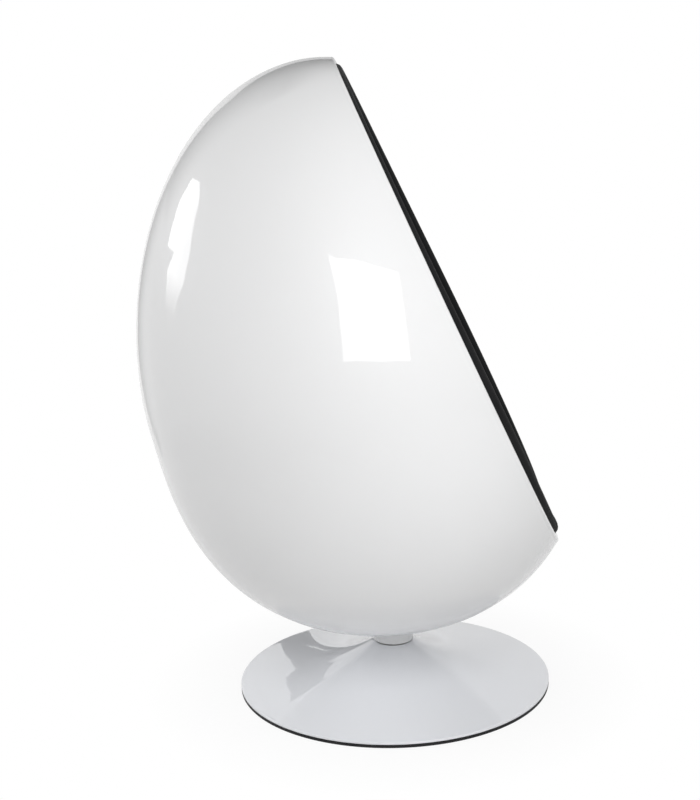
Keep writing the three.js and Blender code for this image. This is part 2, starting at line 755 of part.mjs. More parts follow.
function piece(name, finish, geometry) {
  const mesh = new THREE.Mesh(closed(geometry), new THREE.MeshStandardMaterial(finishes[finish]));
  mesh.name = name;
  return mesh;
}

function makeBase() {
  const base = new THREE.Group();
  const baseScrewLength = ballastTop + fitGap + baseScrewGrip - baseScrewSeat;
  const baseScrew = screw(baseScrewSeat, -1, baseScrewHeadRadius, baseScrewHeadHeight,
    baseScrewRadius, baseScrewLength, smallSides);
  const footBoltLength = footThickness + washerThickness + ballastThickness;
  const footBolt = screw(footBoltSeat, 1, footBoltHead, footBoltHeadHeight,
    footBoltRadius, footBoltLength, hexSides);
  const footWasher = ring(footBoltRadius + fitGap, washerRadius, footTop + fitGap,
    footTop + fitGap + washerThickness, smallSides);
  base.add(
    piece('floor_pad', 'rubber', makeFloorPad()),
    piece('ballast_plate', 'darkSteel', makeBallast()),
    piece('base_trumpet', 'gloss', makeTrumpet()),
    piece('centre_post', 'steel', makePost()),
    piece('neck_ring', 'nylon', ring(shoulderRadius + fitGap, neckRadius - neckSleeveWall - fitGap,
      neckTop - neckSleeveDepth, neckTop - fitGap)),
    piece('lower_race', 'steel', ring(postRadius + fitGap, raceRadius, lowerRaceBottom,
      lowerRaceBottom + raceThickness, postSides)),
    piece('retaining_clip', 'darkSteel', makeClip()),
    ...roundCircle(baseScrewCount, baseScrewCircle, 0, (i, x, y) => (
      piece(`base_screw_${i}`, 'steel', moved(baseScrew, x, y, 0)))),
    ...roundCircle(footBoltCount, footBoltCircle, Math.PI / footBoltCount, (i, x, y) => (
      piece(`foot_bolt_${i}`, 'steel', moved(footBolt, x, y, 0)))),
    ...roundCircle(footBoltCount, footBoltCircle, Math.PI / footBoltCount, (i, x, y) => (
      piece(`foot_washer_${i}`, 'steel', moved(footWasher, x, y, 0)))),
  );
  return base;
}

function makeBearing() {
  const bearing = new THREE.Group();
  bearing.add(piece('ball_cage', 'steel', makeBallCage()));
  return bearing;
}

function makePod() {
  const pod = new THREE.Group();
  const bushRing = (low) => ring(postRadius + runGap, hubBore - fitGap, low, low + bushLength, postSides);
  const plateScrew = screw(plateScrewSeat, 1, plateScrewHeadRadius, plateScrewHeadHeight,
    plateScrewRadius, plateScrewSeat - plateScrewTip, smallSides);
  pod.add(
    piece('pod_shell', 'gloss', makeShell()),
    piece('pod_liner', 'fabric', makeLiner()),
    piece('rim_roll', 'fabric', makeRoll()),
    piece('collar', 'gloss', makeCollar()),
    piece('hub', 'steel', makeHub()),
    piece('upper_race', 'steel', ring(postRadius + runGap, raceRadius, upperRaceBottom,
      upperRaceBottom + raceThickness, postSides)),
    piece('lower_bush', 'nylon', bushRing(hubBottom + fitGap)),
    piece('upper_bush', 'nylon', bushRing(hubTop - bushLength)),
    piece('retaining_washer', 'nylon', ring(postRadius + runGap, hubRadius, retainWasherBottom,
      retainWasherBottom + retainWasherThickness, postSides)),
    piece('bedding_block', 'plywood', makeBlock()),
    piece('mounting_plate', 'steel', cut(ring(hubRadius + fitGap, blockRadius, plateBottom, plateTop),
      ...plateScrewHoles(blockTop))),
    piece('clamp_washer', 'steel', ring(hubRadius + fitGap, clampWasherRadius, clampWasherBottom,
      clampWasherBottom + clampWasherThickness)),
    piece('hub_nut', 'steel', makeNut()),
    ...roundCircle(plateScrewCount, plateScrewCircle, Math.PI / plateScrewCount, (i, x, y) => (
      piece(`plate_screw_${i}`, 'steel', moved(plateScrew, x, y, 0)))),
    piece('seat_base_pad', 'fabric', makeSeatBase()),
    piece('seat_cushion', 'fabric', makeSeatCushion()),
    piece('back_cushion', 'fabric', makeBackCushion()),
  );
  return pod;
}

const chair = new THREE.Group();
chair.add(makeBase(), makeBearing(), makePod());

export default chair;
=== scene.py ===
# A swivelling pod chair: a glossy egg shell cut open by a leaning plane, padded and cushioned
# inside in black cloth, on a white trumpet base with a rubber floor pad. Metres, +Z up.

from math import copysign, cos, pi, radians, sin

import bmesh
import bpy
import numpy as np
from mathutils import Matrix, Vector
from mathutils.bvhtree import BVHTree


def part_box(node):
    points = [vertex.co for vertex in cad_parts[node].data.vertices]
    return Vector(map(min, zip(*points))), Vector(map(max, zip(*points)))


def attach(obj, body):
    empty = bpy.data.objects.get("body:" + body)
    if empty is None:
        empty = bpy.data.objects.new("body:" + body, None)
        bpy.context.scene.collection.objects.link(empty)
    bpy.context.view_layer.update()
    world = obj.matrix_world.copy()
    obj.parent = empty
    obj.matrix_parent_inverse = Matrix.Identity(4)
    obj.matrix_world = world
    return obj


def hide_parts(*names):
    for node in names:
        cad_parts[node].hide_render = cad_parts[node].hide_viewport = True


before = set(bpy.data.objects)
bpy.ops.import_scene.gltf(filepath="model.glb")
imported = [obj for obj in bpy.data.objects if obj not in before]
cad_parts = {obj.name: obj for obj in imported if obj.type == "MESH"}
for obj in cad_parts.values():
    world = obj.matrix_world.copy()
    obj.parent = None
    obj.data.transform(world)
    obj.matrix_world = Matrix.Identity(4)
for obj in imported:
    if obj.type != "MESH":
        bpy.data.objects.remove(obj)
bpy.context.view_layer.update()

MM = 0.001

# The egg, with the sizes of the solid that it replaces
EGG_MIDDLE = np.array((0.0, 30 * MM, 671 * MM))
EGG_LEAN = radians(12.4)
EGG_UP = 618 * MM
EGG_DOWN = 536 * MM
EGG_BACK = 456 * MM
EGG_FRONT = 402 * MM
EGG_SIDE = 436 * MM
UP_POWER = 1.83
DOWN_POWER = 2.78
BACK_POWER = 1.96
FRONT_POWER = 2.03
SIDE_POWER = 2.0
OPENING_TILT = radians(23.6)
OPENING_FORWARD = 195 * MM

# Shell, lining and roll
SHELL_WALL = 6 * MM
RIM_WALL = 10 * MM
SOFT_GAP = 0.5 * MM
LINER_THICKNESS = 22 * MM
LINER_HOLE_GAP = 10 * MM
LINER_SEAM_TURNS = (radians(52), radians(104), radians(152))
LINER_SEAM_DEPTH = 2.4 * MM
LINER_SEAM_WIDTH = 5 * MM
LINER_SWELL = 1.5 * MM
LINER_SWELL_REACH = 30 * MM
ROLL_DEPTH = 26 * MM
ROLL_WIDTH = 30 * MM
ROLL_PROUD = 6.2 * MM
ROLL_SWELL = 21.7 * MM
ROLL_SWELL_POWER = 1.4
ROLL_SWELL_EASE = 0.005
ROLL_TUCK = 8 * MM
ROLL_TUCK_POWER = 50
ROLL_POWER = 2.6
ROLL_GATHER = 0.35 * MM
ROLL_JOINT_TURN = radians(-161)
ROLL_JOINT_WIDTH = radians(9)
ROLL_JOINT_SWELL = 2.4 * MM
ROLL_JOINT_POWER = 4

# Base
BASE_RADIUS = 320 * MM
PAD_FLOOR = 3 * MM
PAD_RIM_HEIGHT = 7 * MM
PAD_RIM_WIDTH = 16 * MM
PAD_EDGE_ROUND = 1.2 * MM
PAD_GROOVE_DEPTH = 0.8 * MM
PAD_GROOVE_WIDTH = 6 * MM
PAD_GROOVE_RADII = (120 * MM, 170 * MM, 220 * MM, 270 * MM)
FIT_GAP = 0.3 * MM
BASE_EDGE = 4.4 * MM
BASE_EDGE_ROUND = 3 * MM
NECK_RADIUS = 41 * MM
NECK_TOP = 92 * MM
NECK_EDGE_ROUND = 0.8 * MM
NECK_BEVEL_SHARE = 0.3
NECK_SLEEVE_WALL = 4 * MM
NECK_SLEEVE_DEPTH = 20 * MM
NECK_CROWDING = 0.8
TRUMPET_WALL = 5 * MM
FLARE_SHARE = 0.45
FLARE_POWER = 4
BOSS_RADIUS = 9 * MM
BOSS_GRIP = 6 * MM
SCREW_RADIUS = 2.4 * MM
COLLAR_WALL = 3 * MM
HUB_WALL = 4.5 * MM
SWIVEL_GAP = 3 * MM
POCKET_GAP = 10 * MM

# Seat
SEAT_TILT = radians(4)
SEAT_MIDDLE = np.array((0.0, 50 * MM, 300.04 * MM))
SEAT_SEAM_LOW = 16 * MM
SEAT_SEAM_HIGH = 92 * MM
SEAT_CROWN = 30 * MM
SEAT_SIDE_GAP = 6 * MM
SEAT_FRONT_SETBACK = 34 * MM
CORNER_POWER = 7
CROWN_POWER = 3
CROWN_EASE = 0.65
SIDE_DRAWN_IN = 0.015
BACK_THICKNESS = 105 * MM
BACK_SEAM = 34 * MM
BACK_SIDE_GAP = 4 * MM
BACK_HALF_WIDTH = radians(31)
BACK_LOW = radians(-13)
BACK_HIGH = radians(45)
BACK_CORNER_POWER = 3.6
BACK_REAR_POWER = 8
PIPING_RADIUS = 3 * MM
PIPING_OUT = 1.2 * MM

# Cloth simulation and what is sewn after it
VOXEL = 5.5 * MM
CLOTH_FRAMES = 20
CLOTH_PRESSURE = 4
CLOTH_SPARE = 0.02
SWELL_CAP = 24 * MM
SWELL_ROOM = 20 * MM
PINCH_DEPTH = 2.2 * MM
PINCH_REACH = 7 * MM
PUCKER_DEPTH = 1.1 * MM
PUCKER_REACH = 26 * MM
PUCKER_LENGTHS = (17 * MM, 23 * MM, 31 * MM, 47 * MM)
SOFTENINGS = 3
PINNED_HEIGHT = 0.6 * SEAT_SEAM_LOW

# The photograph's camera
IMAGE_HEIGHT = 800
SENSOR = 36
FOCAL_PIXELS = 1647.9
CAMERA_DISTANCE = 3.2
CAMERA_HEIGHT = 1.4159
CAMERA_AZIMUTH = radians(-91.60)
CAMERA_YAW = radians(1.317)
CAMERA_PITCH = radians(-14.206)
CAMERA_ROLL = radians(-1.955)

# The studio: strengths of cards and world, 1 being white, and the floor's shade by radius, its real
# shadow with painted shade added near the chair
SOFTBOX = 3.8
DARK_PANEL = 0.03
GREY_PANEL = 0.5
PALE_PANEL = 0.6
PANEL_DISTANCE = 1.0
WORLD_LIGHT = 0.26
FLOOR_REACH = 200.0
FLOOR_COLOUR = (0.78, 0.78, 0.78, 1)
SHADOW_NEAR = 0.33
SHADOW_SEEN = 0.09
SHADOW_SEEN_FAR = 0.52
SHADOW_MIRRORED = 0.45
SHADOW_MIRRORED_FAR = 2.4

# Materials
ORANGE_PEEL = 0.02 * MM
YARN_PITCH = 1.7 * MM

# Where loops of points lie: in rim rounds, in seam widths, and as shares of the way out
RIM_LOOPS = (1, 1.7, 3)
SEAM_LOOPS = (-1.6, -1, -0.6, -0.3, 0, 0.3, 0.6, 1, 1.6)
BLOCK_TOP_LOOPS = (0.2, 0.5, 0.8, 0.95, 0.985)
BLOCK_FIRST_LOOP = 0.012
SEAT_UNDER_LOOPS = (0.3, 0.6, 0.9)
SEAT_CORNER_LOOP = 0.975
SEAT_TOP_LOOPS = (0.97, 0.92, 0.84, 0.7, 0.5, 0.25)
BACK_REAR_LOOPS = (0.3, 0.6, 0.8, 0.9, 0.96)
BACK_FRONT_LOOPS = (0.985, 0.96, 0.92, 0.85, 0.7, 0.5, 0.25)

# Edges sharper than these angles are kept sharp
CREASE = 35.0
CUT_CREASE = 40.0
TURNED_CREASE = 50.0
LEDGE_CREASE = 60.0
SOFT_CREASE = 80.0

# Counts and steps
SIDES = 192
SHELL_RINGS = 60
RIM_STEPS = 10
LINER_SIDES = 120
LINER_RINGS = 48
ROLL_STEPS = 320
ROLL_SIDES = 24
ROLL_GATHER_WAVES = (97, 131, 173)
ROUND_SIDES = 160
TOOL_SIDES = 48
TUBE_SIDES = 10
TRUMPET_STEPS = 60
CORNER_STEPS = 4
CORNER_ROOM = 0.45
BLOCK_RINGS = 22
SEAT_SIDE_LOOPS = 7
BLOCK_EDGE_POWER = 24
SEAM_STEPS = 400
CHUNK = 4000
SEED = 7

TURN = 2 * pi
SMALL = 0.001 * MM
REST_SEARCH = 60 * MM
UP = Vector((0, 0, 1))

# Places that the hardware sets
COLLAR_BOTTOM = NECK_TOP + SWIVEL_GAP
BLOCK_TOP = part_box("bedding_block")[1].z
LINER_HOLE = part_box("bedding_block")[1].x + LINER_HOLE_GAP


# Nodes

def with_settings(thing, **settings):
    for setting, value in settings.items():
        setattr(thing, setting, value)
    return thing


def add_node(tree, kind, *sources, **settings):
    """A new node. Its first sockets get the sources: a value or another node's output each."""
    node = with_settings(tree.nodes.new("ShaderNode" + kind), **settings)
    for socket, source in zip(node.inputs, sources):
        if isinstance(source, bpy.types.NodeSocket):
            tree.links.new(source, socket)
        else:
            socket.default_value = source
    return node


def maths(tree, operation, *sources):
    return add_node(tree, "Math", *sources, operation=operation).outputs[0]


def weighted(tree, *pairs):
    """The sum of values that each count by a weight."""
    total = 0.0
    for value, weight in pairs:
        total = maths(tree, "MULTIPLY_ADD", value, weight, total)
    return total


def texture(tree, kind, scale, stretch=(1, 1, 1), **values):
    """A procedural texture's grey value, in the object's own coordinates."""
    mapping = add_node(tree, "Mapping", add_node(tree, "TexCoord").outputs["Object"])
    mapping.inputs["Scale"].default_value = stretch
    node = add_node(tree, kind, mapping.outputs[0])
    for socket, value in {"Scale": scale, **values}.items():
        node.inputs[socket].default_value = value
    return node.outputs["Fac"]


def ramp(tree, source, low, high, first, second):
    """Spreads a value from low..high over two colours or two values."""
    if isinstance(first, float):
        return add_node(tree, "MapRange", source, low, high, first, second).outputs[0]
    node = add_node(tree, "ValToRGB", source)
    for element, position, colour in zip(node.color_ramp.elements, (low, high), (first, second)):
        element.position = position
        element.color = (*colour, 1)
    return node.outputs[0]


def vary(shader, socket, source, low, high, first, second):
    """Lets a socket of the shader follow a texture."""
    tree = shader.id_data
    tree.links.new(ramp(tree, source, low, high, first, second), shader.inputs[socket])


def bump(shader, heights, distance, under=None):
    """Bumps the shader's surface, over the bump under it, and returns the new normal."""
    tree = shader.id_data
    node = add_node(tree, "Bump")
    node.inputs["Distance"].default_value = distance
    tree.links.new(heights, node.inputs["Height"])
    if under is not None:
        tree.links.new(under, node.inputs["Normal"])
    tree.links.new(node.outputs[0], shader.inputs["Normal"])
    return node.outputs[0]


def shader_of(name, colour, roughness, **values):
    """A material with a plain shader whose own sockets hold what is the same all over."""
    paint = bpy.data.materials.new(name)
    paint.use_nodes = True
    shader = paint.node_tree.nodes["Principled BSDF"]
    shader.inputs["Base Color"].default_value = (*colour, 1)
    shader.inputs["Roughness"].default_value = roughness
    for socket, value in values.items():
        shader.inputs[socket.replace("_", " ")].default_value = value
    return paint, paint.node_tree, shader


def flat_face(name, outline):
    """A flat piece of the studio at z = 0, and the empty node tree of its material."""
    mesh = bpy.data.meshes.new(name)
    mesh.from_pydata([(*point, 0) for point in outline], [], [range(len(outline))])
    paint = bpy.data.materials.new(name)
    paint.use_nodes = True
    paint.node_tree.nodes.clear()
    mesh.materials.append(paint)
    return link(name, mesh), paint.node_tree


def mix_shaders(tree, output, share, first, second):
    mixed = add_node(tree, "MixShader", share, first.outputs[0], second.outputs[0])
    add_node(tree, output, mixed.outputs[0])


def toned(colour, share):
    return tuple(share * part for part in colour)


# Camera, lights and floor

def make_camera():
    away = Vector((sin(CAMERA_AZIMUTH), -cos(CAMERA_AZIMUTH), 0))
    place = away * CAMERA_DISTANCE + UP * CAMERA_HEIGHT
    level = Matrix.Rotation(CAMERA_YAW, 3, "Z") @ -away
    ahead = level * cos(CAMERA_PITCH) + UP * sin(CAMERA_PITCH)
    right = ahead.cross(UP).normalized()
    above = right.cross(ahead)
    across = right * cos(CAMERA_ROLL) + above * sin(CAMERA_ROLL)
    upward = above * cos(CAMERA_ROLL) - right * sin(CAMERA_ROLL)
    turn = Matrix((across, upward, -ahead)).transposed().to_4x4()
    camera = link("camera", bpy.data.cameras.new("camera"))
    camera.data.sensor_width = SENSOR
    camera.data.lens = FOCAL_PIXELS * SENSOR / IMAGE_HEIGHT
    camera.matrix_world = Matrix.Translation(place) @ turn
    bpy.context.scene.camera = camera


def facing(target, azimuth, height, distance):
    """A place that looks back at a target along its -Z axis. Azimuth 0 is on the target's -Y side."""
    azimuth = radians(azimuth)
    height = radians(height)
    level = cos(height)
    ahead = Vector((sin(azimuth) * level, -cos(azimuth) * level, sin(height)))
    turn = ahead.to_track_quat("Z", "Y").to_matrix().to_4x4()
    return Matrix.Translation(Vector(target) + ahead * distance) @ turn


def soft_light(name, target, azimuth, height, distance, size, watts):
    """A square soft lamp. The gloss doesn't mirror it: its face is a card of its own."""
    light = with_settings(bpy.data.lights.new(name, "AREA"), shape="SQUARE", size=size, energy=watts)
    place = facing(target, azimuth, height, distance)
    with_settings(link(name, light), matrix_world=place, visible_camera=False, visible_glossy=False)


def make_card(name, place, outline, strength, fades=()):
    """A flat card that only the gloss mirrors: the face of a softbox, or a panel in the studio.

    The outline is across and up in metres. A fade is how much across and up count, and the sums of
    the two at which the card starts to fade and has faded.
    """
    card, tree = flat_face(name, outline)
    card.matrix_world = place
    for kind in ("camera", "diffuse", "transmission", "volume_scatter", "shadow"):
        setattr(card, "visible_" + kind, False)
    spot = add_node(tree, "TexCoord").outputs["Object"]
    clearness = 0.0
    for across, above, start, stop in fades:
        along = add_node(tree, "VectorMath", spot, (across, above, 0), operation="DOT_PRODUCT")
        faded = ramp(tree, along.outputs["Value"], start, stop, 0.0, 1.0)
        clearness = maths(tree, "MAXIMUM", clearness, faded)
    face = add_node(tree, "Emission", (1, 1, 1, 1), strength)
    mix_shaders(tree, "OutputMaterial", clearness, face, add_node(tree, "BsdfTransparent"))


def make_lights():
    """Lamps that light the chair, and the cards that its gloss mirrors."""
    soft_light("side_light", (-0.4, 0.04, 0.87), -85, 28, 2.4, 1.5, 43)
    soft_light("back_light", (-0.2, 0.37, 0.98), 155, 13, 3.2, 1.4, 40)
    soft_light("front_fill", (0, 0, 0.65), -22, 28, 3.2, 1.8, 17)
    soft_light("far_fill", (0, 0, 0.65), 90, 30, 3.2, 1.8, 12)
    side_face = facing((-0.4, 0.046, 0.877), -86.7, 21.9, 3.4)
    outline = [(-0.99, 0.9), (-0.72, 0.79), (1.48, 0.77), (1.35, -0.96), (0.1, -1.03), (-0.98, -1.14),
               (-0.86, 0)]
    make_card("side_face", side_face, outline, SOFTBOX)
    back_face = facing((-0.21, 0.37, 0.982), 156.5, 13.3, 3.2)
    outline = [(-0.55, 0.58), (-0.1, 0.78), (0.4, 0.66), (0.84, 0), (0.87, -0.4), (0.5, -0.95),
               (0, -0.95), (-0.18, -0.54), (0, -0.27), (-0.49, -0.34), (-0.67, 0.2)]
    make_card("back_face", back_face, outline, SOFTBOX, [(0, -1, 0.45, 0.95)])
    beyond = facing((0, 0, 0), 90, 0, PANEL_DISTANCE)
    outline = [(-0.1, 0.175), (0.28, 0.175), (0.24, 0.15), (0.225, 0.02), (0.335, 0.02), (0.336, 0.16),
               (0.354, 0.24), (0.4, 0.42), (0.435, 0.5), (0.45, 0.6), (0.45, 0.78), (-0.1, 0.78)]
    make_card("low_panel", beyond, outline, DARK_PANEL)
    outline = [(-0.9, 1.62), (0.72, 1.62), (0.86, 1.2), (1.85, 1.2), (1.85, 3.6), (0.6, 3.6),
               (-0.9, 1.7)]
    fades = [(1, 0, 0.45, 1.85), (-1.3, 1, 1.65, 2.85)]
    make_card("high_panel", beyond, outline, DARK_PANEL, fades)
    outline = [(1.12, 0.01), (1.5, 0.01), (1.5, 1.2), (0.85, 1.2), (0.87, 0.8), (0.95, 0.5)]
    make_card("grey_panel", beyond, outline, GREY_PANEL, [(1, 0, 1.0, 1.45)])
    outline = [(-0.9, 1.2), (0, 1.2), (0.24, 1.1), (0.45, 1), (0.86, 1.2), (0.72, 1.62), (-0.9, 1.62)]
    make_card("rim_panel", beyond, outline, PALE_PANEL, [(1, 0, 0.1, 0.7)])


def direct_rays(tree):
    """What is 1 for camera rays, and what is 1 for the rays that gloss and glass send on."""
    rays = add_node(tree, "LightPath").outputs
    mirrored = maths(tree, "MAXIMUM", rays["Is Glossy Ray"], rays["Is Transmission Ray"])
    return rays["Is Camera Ray"], mirrored


def make_world():
    """Shows white, and lights the chair with less than it shows."""
    world = bpy.data.worlds.new("studio")
    world.use_nodes = True
    bpy.context.scene.world = world
    tree = world.node_tree
    tree.nodes.clear()
    light = add_node(tree, "Background", (1, 1, 1, 1), WORLD_LIGHT)
    shown = add_node(tree, "Background", (1, 1, 1, 1), 1.0)
    mix_shaders(tree, "OutputWorld", maths(tree, "MAXIMUM", *direct_rays(tree)), light, shown)


def make_floor():
    """A wide floor that shows white. Near the chair it mixes in its lit matt face, which holds the
    chair's real shadow and is darker than white, so it also gets painted shade by radius: faint to the
    eye, and deeper and further out in the gloss.
    """
    reach = FLOOR_REACH
    corners = [(-reach, -reach), (reach, -reach), (reach, reach), (-reach, reach)]
    floor, tree = flat_face("floor", corners)
    spot = add_node(tree, "TexCoord").outputs["Object"]
    radius = add_node(tree, "VectorMath", spot, operation="LENGTH").outputs["Value"]
    depths = ((SHADOW_SEEN, SHADOW_SEEN_FAR), (SHADOW_MIRRORED, SHADOW_MIRRORED_FAR))
    shares = []
    for rays, (shadow, far) in zip(direct_rays(tree), depths):
        # Painted shade: the white share drops by radius towards the chair, so the floor darkens there on
        # top of its real shadow, more in the gloss
        whiteness = ramp(tree, radius, SHADOW_NEAR, far, 1 - shadow, 1.0)
        shares.append(maths(tree, "MULTIPLY", rays, whiteness))
    matt = add_node(tree, "BsdfDiffuse", FLOOR_COLOUR)
    glow = add_node(tree, "Emission", (1, 1, 1, 1), 1.0)
    mix_shaders(tree, "OutputMaterial", maths(tree, "MAXIMUM", *shares), matt, glow)


# Materials

def gloss_paint(name, colour, wave):
    """Sprayed gloss on a moulding: a clear coat with faint orange peel over a slightly wavy skin."""
    paint, tree, shader = shader_of(name, colour, 0.35, Coat_Weight=1.0, Coat_Roughness=0.02,
                                    Coat_IOR=1.6, Specular_IOR_Level=0.15)
    broad = texture(tree, "TexNoise", 4, Detail=1)
    vary(shader, "Base Color", broad, 0.1, 0.9, toned(colour, 0.985), colour)
    vary(shader, "Roughness", broad, 0.1, 0.9, 0.34, 0.4)
    rippled = bump(shader, texture(tree, "TexNoise", 12, Detail=0), wave)
    peeled = bump(shader, texture(tree, "TexNoise", 130, Detail=1), ORANGE_PEEL, rippled)
    tree.links.new(peeled, shader.inputs["Coat Normal"])
    return paint


def woven_height(tree):
    """The height of a plain weave in each of the three planes, mixed by the surface's lie."""
    place = add_node(tree, "TexCoord").outputs
    spot = add_node(tree, "SeparateXYZ", place["Object"]).outputs
    lie = add_node(tree, "SeparateXYZ", place["Normal"]).outputs
    waves = [maths(tree, "SINE", maths(tree, "MULTIPLY", axis, pi / YARN_PITCH)) for axis in spot]
    weights = [maths(tree, "POWER", maths(tree, "ABSOLUTE", axis), 6.0) for axis in lie]
    yarns = [maths(tree, "ABSOLUTE", wave) for wave in waves]
    planes = []
    for across, along in ((1, 2), (0, 2), (0, 1)):
        over = maths(tree, "GREATER_THAN", maths(tree, "MULTIPLY", waves[across], waves[along]), 0.0)
        under = maths(tree, "SUBTRACT", 1.0, over)
        planes.append(weighted(tree, (yarns[across], over), (yarns[along], under)))
    total = weighted(tree, *[(weight, 1.0) for weight in weights])
    return maths(tree, "DIVIDE", weighted(tree, *zip(planes, weights)), total)


def cloth_paint(name, colour, sheen):
    """Wool upholstery cloth: a plain weave with fuzz, in slightly uneven yarn."""
    paint, tree, shader = shader_of(name, colour, 0.92, Sheen_Weight=sheen, Sheen_Roughness=0.5,
                                    Specular_IOR_Level=0.15)
    weave = woven_height(tree)
    fuzz = texture(tree, "TexNoise", 700, Detail=4, Roughness=0.7)
    patches = texture(tree, "TexNoise", 14, Detail=3)
    tone = weighted(tree, (weave, 0.45), (fuzz, 0.35), (patches, 0.2))
    vary(shader, "Base Color", tone, 0.25, 0.8, toned(colour, 0.55), toned(colour, 2.1))
    vary(shader, "Roughness", fuzz, 0.3, 0.7, 0.85, 1.0)
    bump(shader, fuzz, 0.2 * MM, bump(shader, weave, 0.35 * MM))
    return paint


def uneven_paint(name, tones, span, roughness, patches, grain, height, worn=False, **values):
    """Rubber, plastic, coating or metal: its tone follows patches, and its bumps a finer grain.

    The patches and the grain are each a noise's scale, its detail and its stretch along Z. The tones
    fill a span of the patches. The roughness follows the grain, or the patches if it is worn.
    """
    paint, tree, shader = shader_of(name, tones[1], roughness[1], **values)
    broad, fine = [texture(tree, "TexNoise", scale, (1, 1, stretch), Detail=detail)
                   for scale, detail, stretch in (patches, grain)]
    vary(shader, "Base Color", broad, *span, *tones)
    vary(shader, "Roughness", broad if worn else fine, 0.3, 0.7, *roughness)
    bump(shader, fine, height)
    return paint


def metal_paint(name, colour, roughness, stretch):
    """Turned or milled steel, with tool marks and smears."""
    return uneven_paint(name, (toned(colour, 0.75), colour), (0.3, 0.75),
                        (0.8 * roughness, 1.25 * roughness), (30, 4, 1), (60, 4, stretch), 0.05 * MM,
                        Metallic=1.0)


def plywood_paint():
    """Birch plywood: plies show as bands on the edge, and grain runs along X."""
    paint, tree, shader = shader_of("plywood", (0.62, 0.46, 0.29), 0.65)
    plies = texture(tree, "TexWave", 160, Distortion=0.6, Detail=2)
    plies.node.bands_direction = "Z"
    grain = texture(tree, "TexNoise", 40, (0.6, 9, 9), Detail=5)
    tone = weighted(tree, (plies, 0.4), (grain, 0.6))
    vary(shader, "Base Color", tone, 0.2, 0.8, (0.4, 0.26, 0.14), (0.68, 0.52, 0.34))
    vary(shader, "Roughness", grain, 0.3, 0.7, 0.55, 0.75)
    bump(shader, tone, 0.15 * MM)
    return paint


# Mesh helpers

def link(name, data):
    made = bpy.data.objects.new(name, data)
    bpy.context.scene.collection.objects.link(made)
    return made


def shade(piece, crease):
    """Smooth shading, except at edges sharper than the crease angle."""
    piece.data.shade_smooth()
    piece.data.set_sharp_from_angle(angle=radians(crease))


def vectors(items, what):
    """The vectors that a mesh's items hold, one a row."""
    values = np.empty(3 * len(items))
    items.foreach_get(what, values)
    return values.reshape(-1, 3)


def coordinates(piece):
    return vectors(piece.data.vertices, "co")


def set_coordinates(piece, places):
    piece.data.vertices.foreach_set("co", places.ravel())
    piece.data.update()


def modify(piece, kind, **settings):
    with_settings(piece.modifiers.new("change", kind), **settings)


def apply_modifiers(piece):
    graph = bpy.context.evaluated_depsgraph_get()
    shaped = bpy.data.meshes.new_from_object(piece.evaluated_get(graph))
    piece.modifiers.clear()
    before = piece.data
    piece.data = shaped
    bpy.data.meshes.remove(before)


def skin_faces(counts, wraps=False):
    """Faces between loops of points that follow one another. A loop of one point is a pole."""
    starts = np.concatenate(([0], np.cumsum(counts)))
    faces = []
    for i in range(len(counts) if wraps else len(counts) - 1):
        j = (i + 1) % len(counts)
        for k in range(max(counts[i], counts[j])):
            corners = [(i, k), (i, k + 1), (j, k + 1), (j, k)]
            vertices = [int(starts[loop] + place % counts[loop]) for loop, place in corners]
            faces.append(list(dict.fromkeys(vertices)))
    return faces


def facing_out(points, faces):
    """The faces of a closed skin, turned to point out."""
    fans = [(face[0], face[k], face[k + 1]) for face in faces for k in range(1, len(face) - 1)]
    first, second, third = points[np.array(fans)].transpose(1, 0, 2)
    volume = np.einsum("ij,ij->", first, np.cross(second, third))
    return [face[::-1] for face in faces] if volume < 0 else faces


def add_skin(name, loops, paint, wraps=False, crease=CREASE):
    points = np.concatenate(loops)
    faces = facing_out(points, skin_faces([len(loop) for loop in loops], wraps))
    mesh = bpy.data.meshes.new(name)
    mesh.from_pydata(points.tolist(), [], faces)
    mesh.materials.append(paint)
    piece = link(name, mesh)
    shade(piece, crease)
    return piece


def rounded(outline, radius):
    """A closed outline with each corner rounded, by no more than its sides leave room for."""
    outline = [np.array(point, float) for point in outline]
    smooth = []
    for i, corner in enumerate(outline):
        before = outline[i - 1] - corner
        after = outline[(i + 1) % len(outline)] - corner
        room = min(radius, *[CORNER_ROOM * np.linalg.norm(side) for side in (before, after)])
        start = corner + before / np.linalg.norm(before) * room
        end = corner + after / np.linalg.norm(after) * room
        for share in np.linspace(0, 1, CORNER_STEPS + 1):
            smooth.append((1 - share) ** 2 * start + 2 * share * (1 - share) * corner + share ** 2 * end)
    return smooth


def unit(rows):
    return rows / np.linalg.norm(rows, axis=1, keepdims=True)


def even_turns(count):
    return np.linspace(0, TURN, count, endpoint=False)


def round_loop(radius, height):
    angles = even_turns(ROUND_SIDES)
    return np.stack([radius * np.cos(angles), radius * np.sin(angles), np.full(ROUND_SIDES, height)], -1)


def add_turned(name, outline, paint):
    """Turns an outline of radius and height. One that starts on the axis ends there too."""
    loops = [round_loop(radius, height) for radius, height in outline]
    on_axis = outline[0][0] == 0
    if on_axis:
        loops = [loops[0][:1], *loops[1:-1], loops[-1][:1]]
    return add_skin(name, loops, paint, wraps=not on_axis, crease=TURNED_CREASE)


def add_tube(name, path, radius, paint):
    """A round tube along a path that closes on itself."""
    ahead = unit(np.roll(path, -1, 0) - np.roll(path, 1, 0))
    side = unit(np.cross(ahead, path - path.mean(0)))
    other = np.cross(ahead, side)
    angles = even_turns(TUBE_SIDES)
    loops = [point + radius * (np.outer(np.cos(angles), first) + np.outer(np.sin(angles), second))
             for point, first, second in zip(path, side, other)]
    return add_skin(name, loops, paint, wraps=True, crease=SOFT_CREASE)


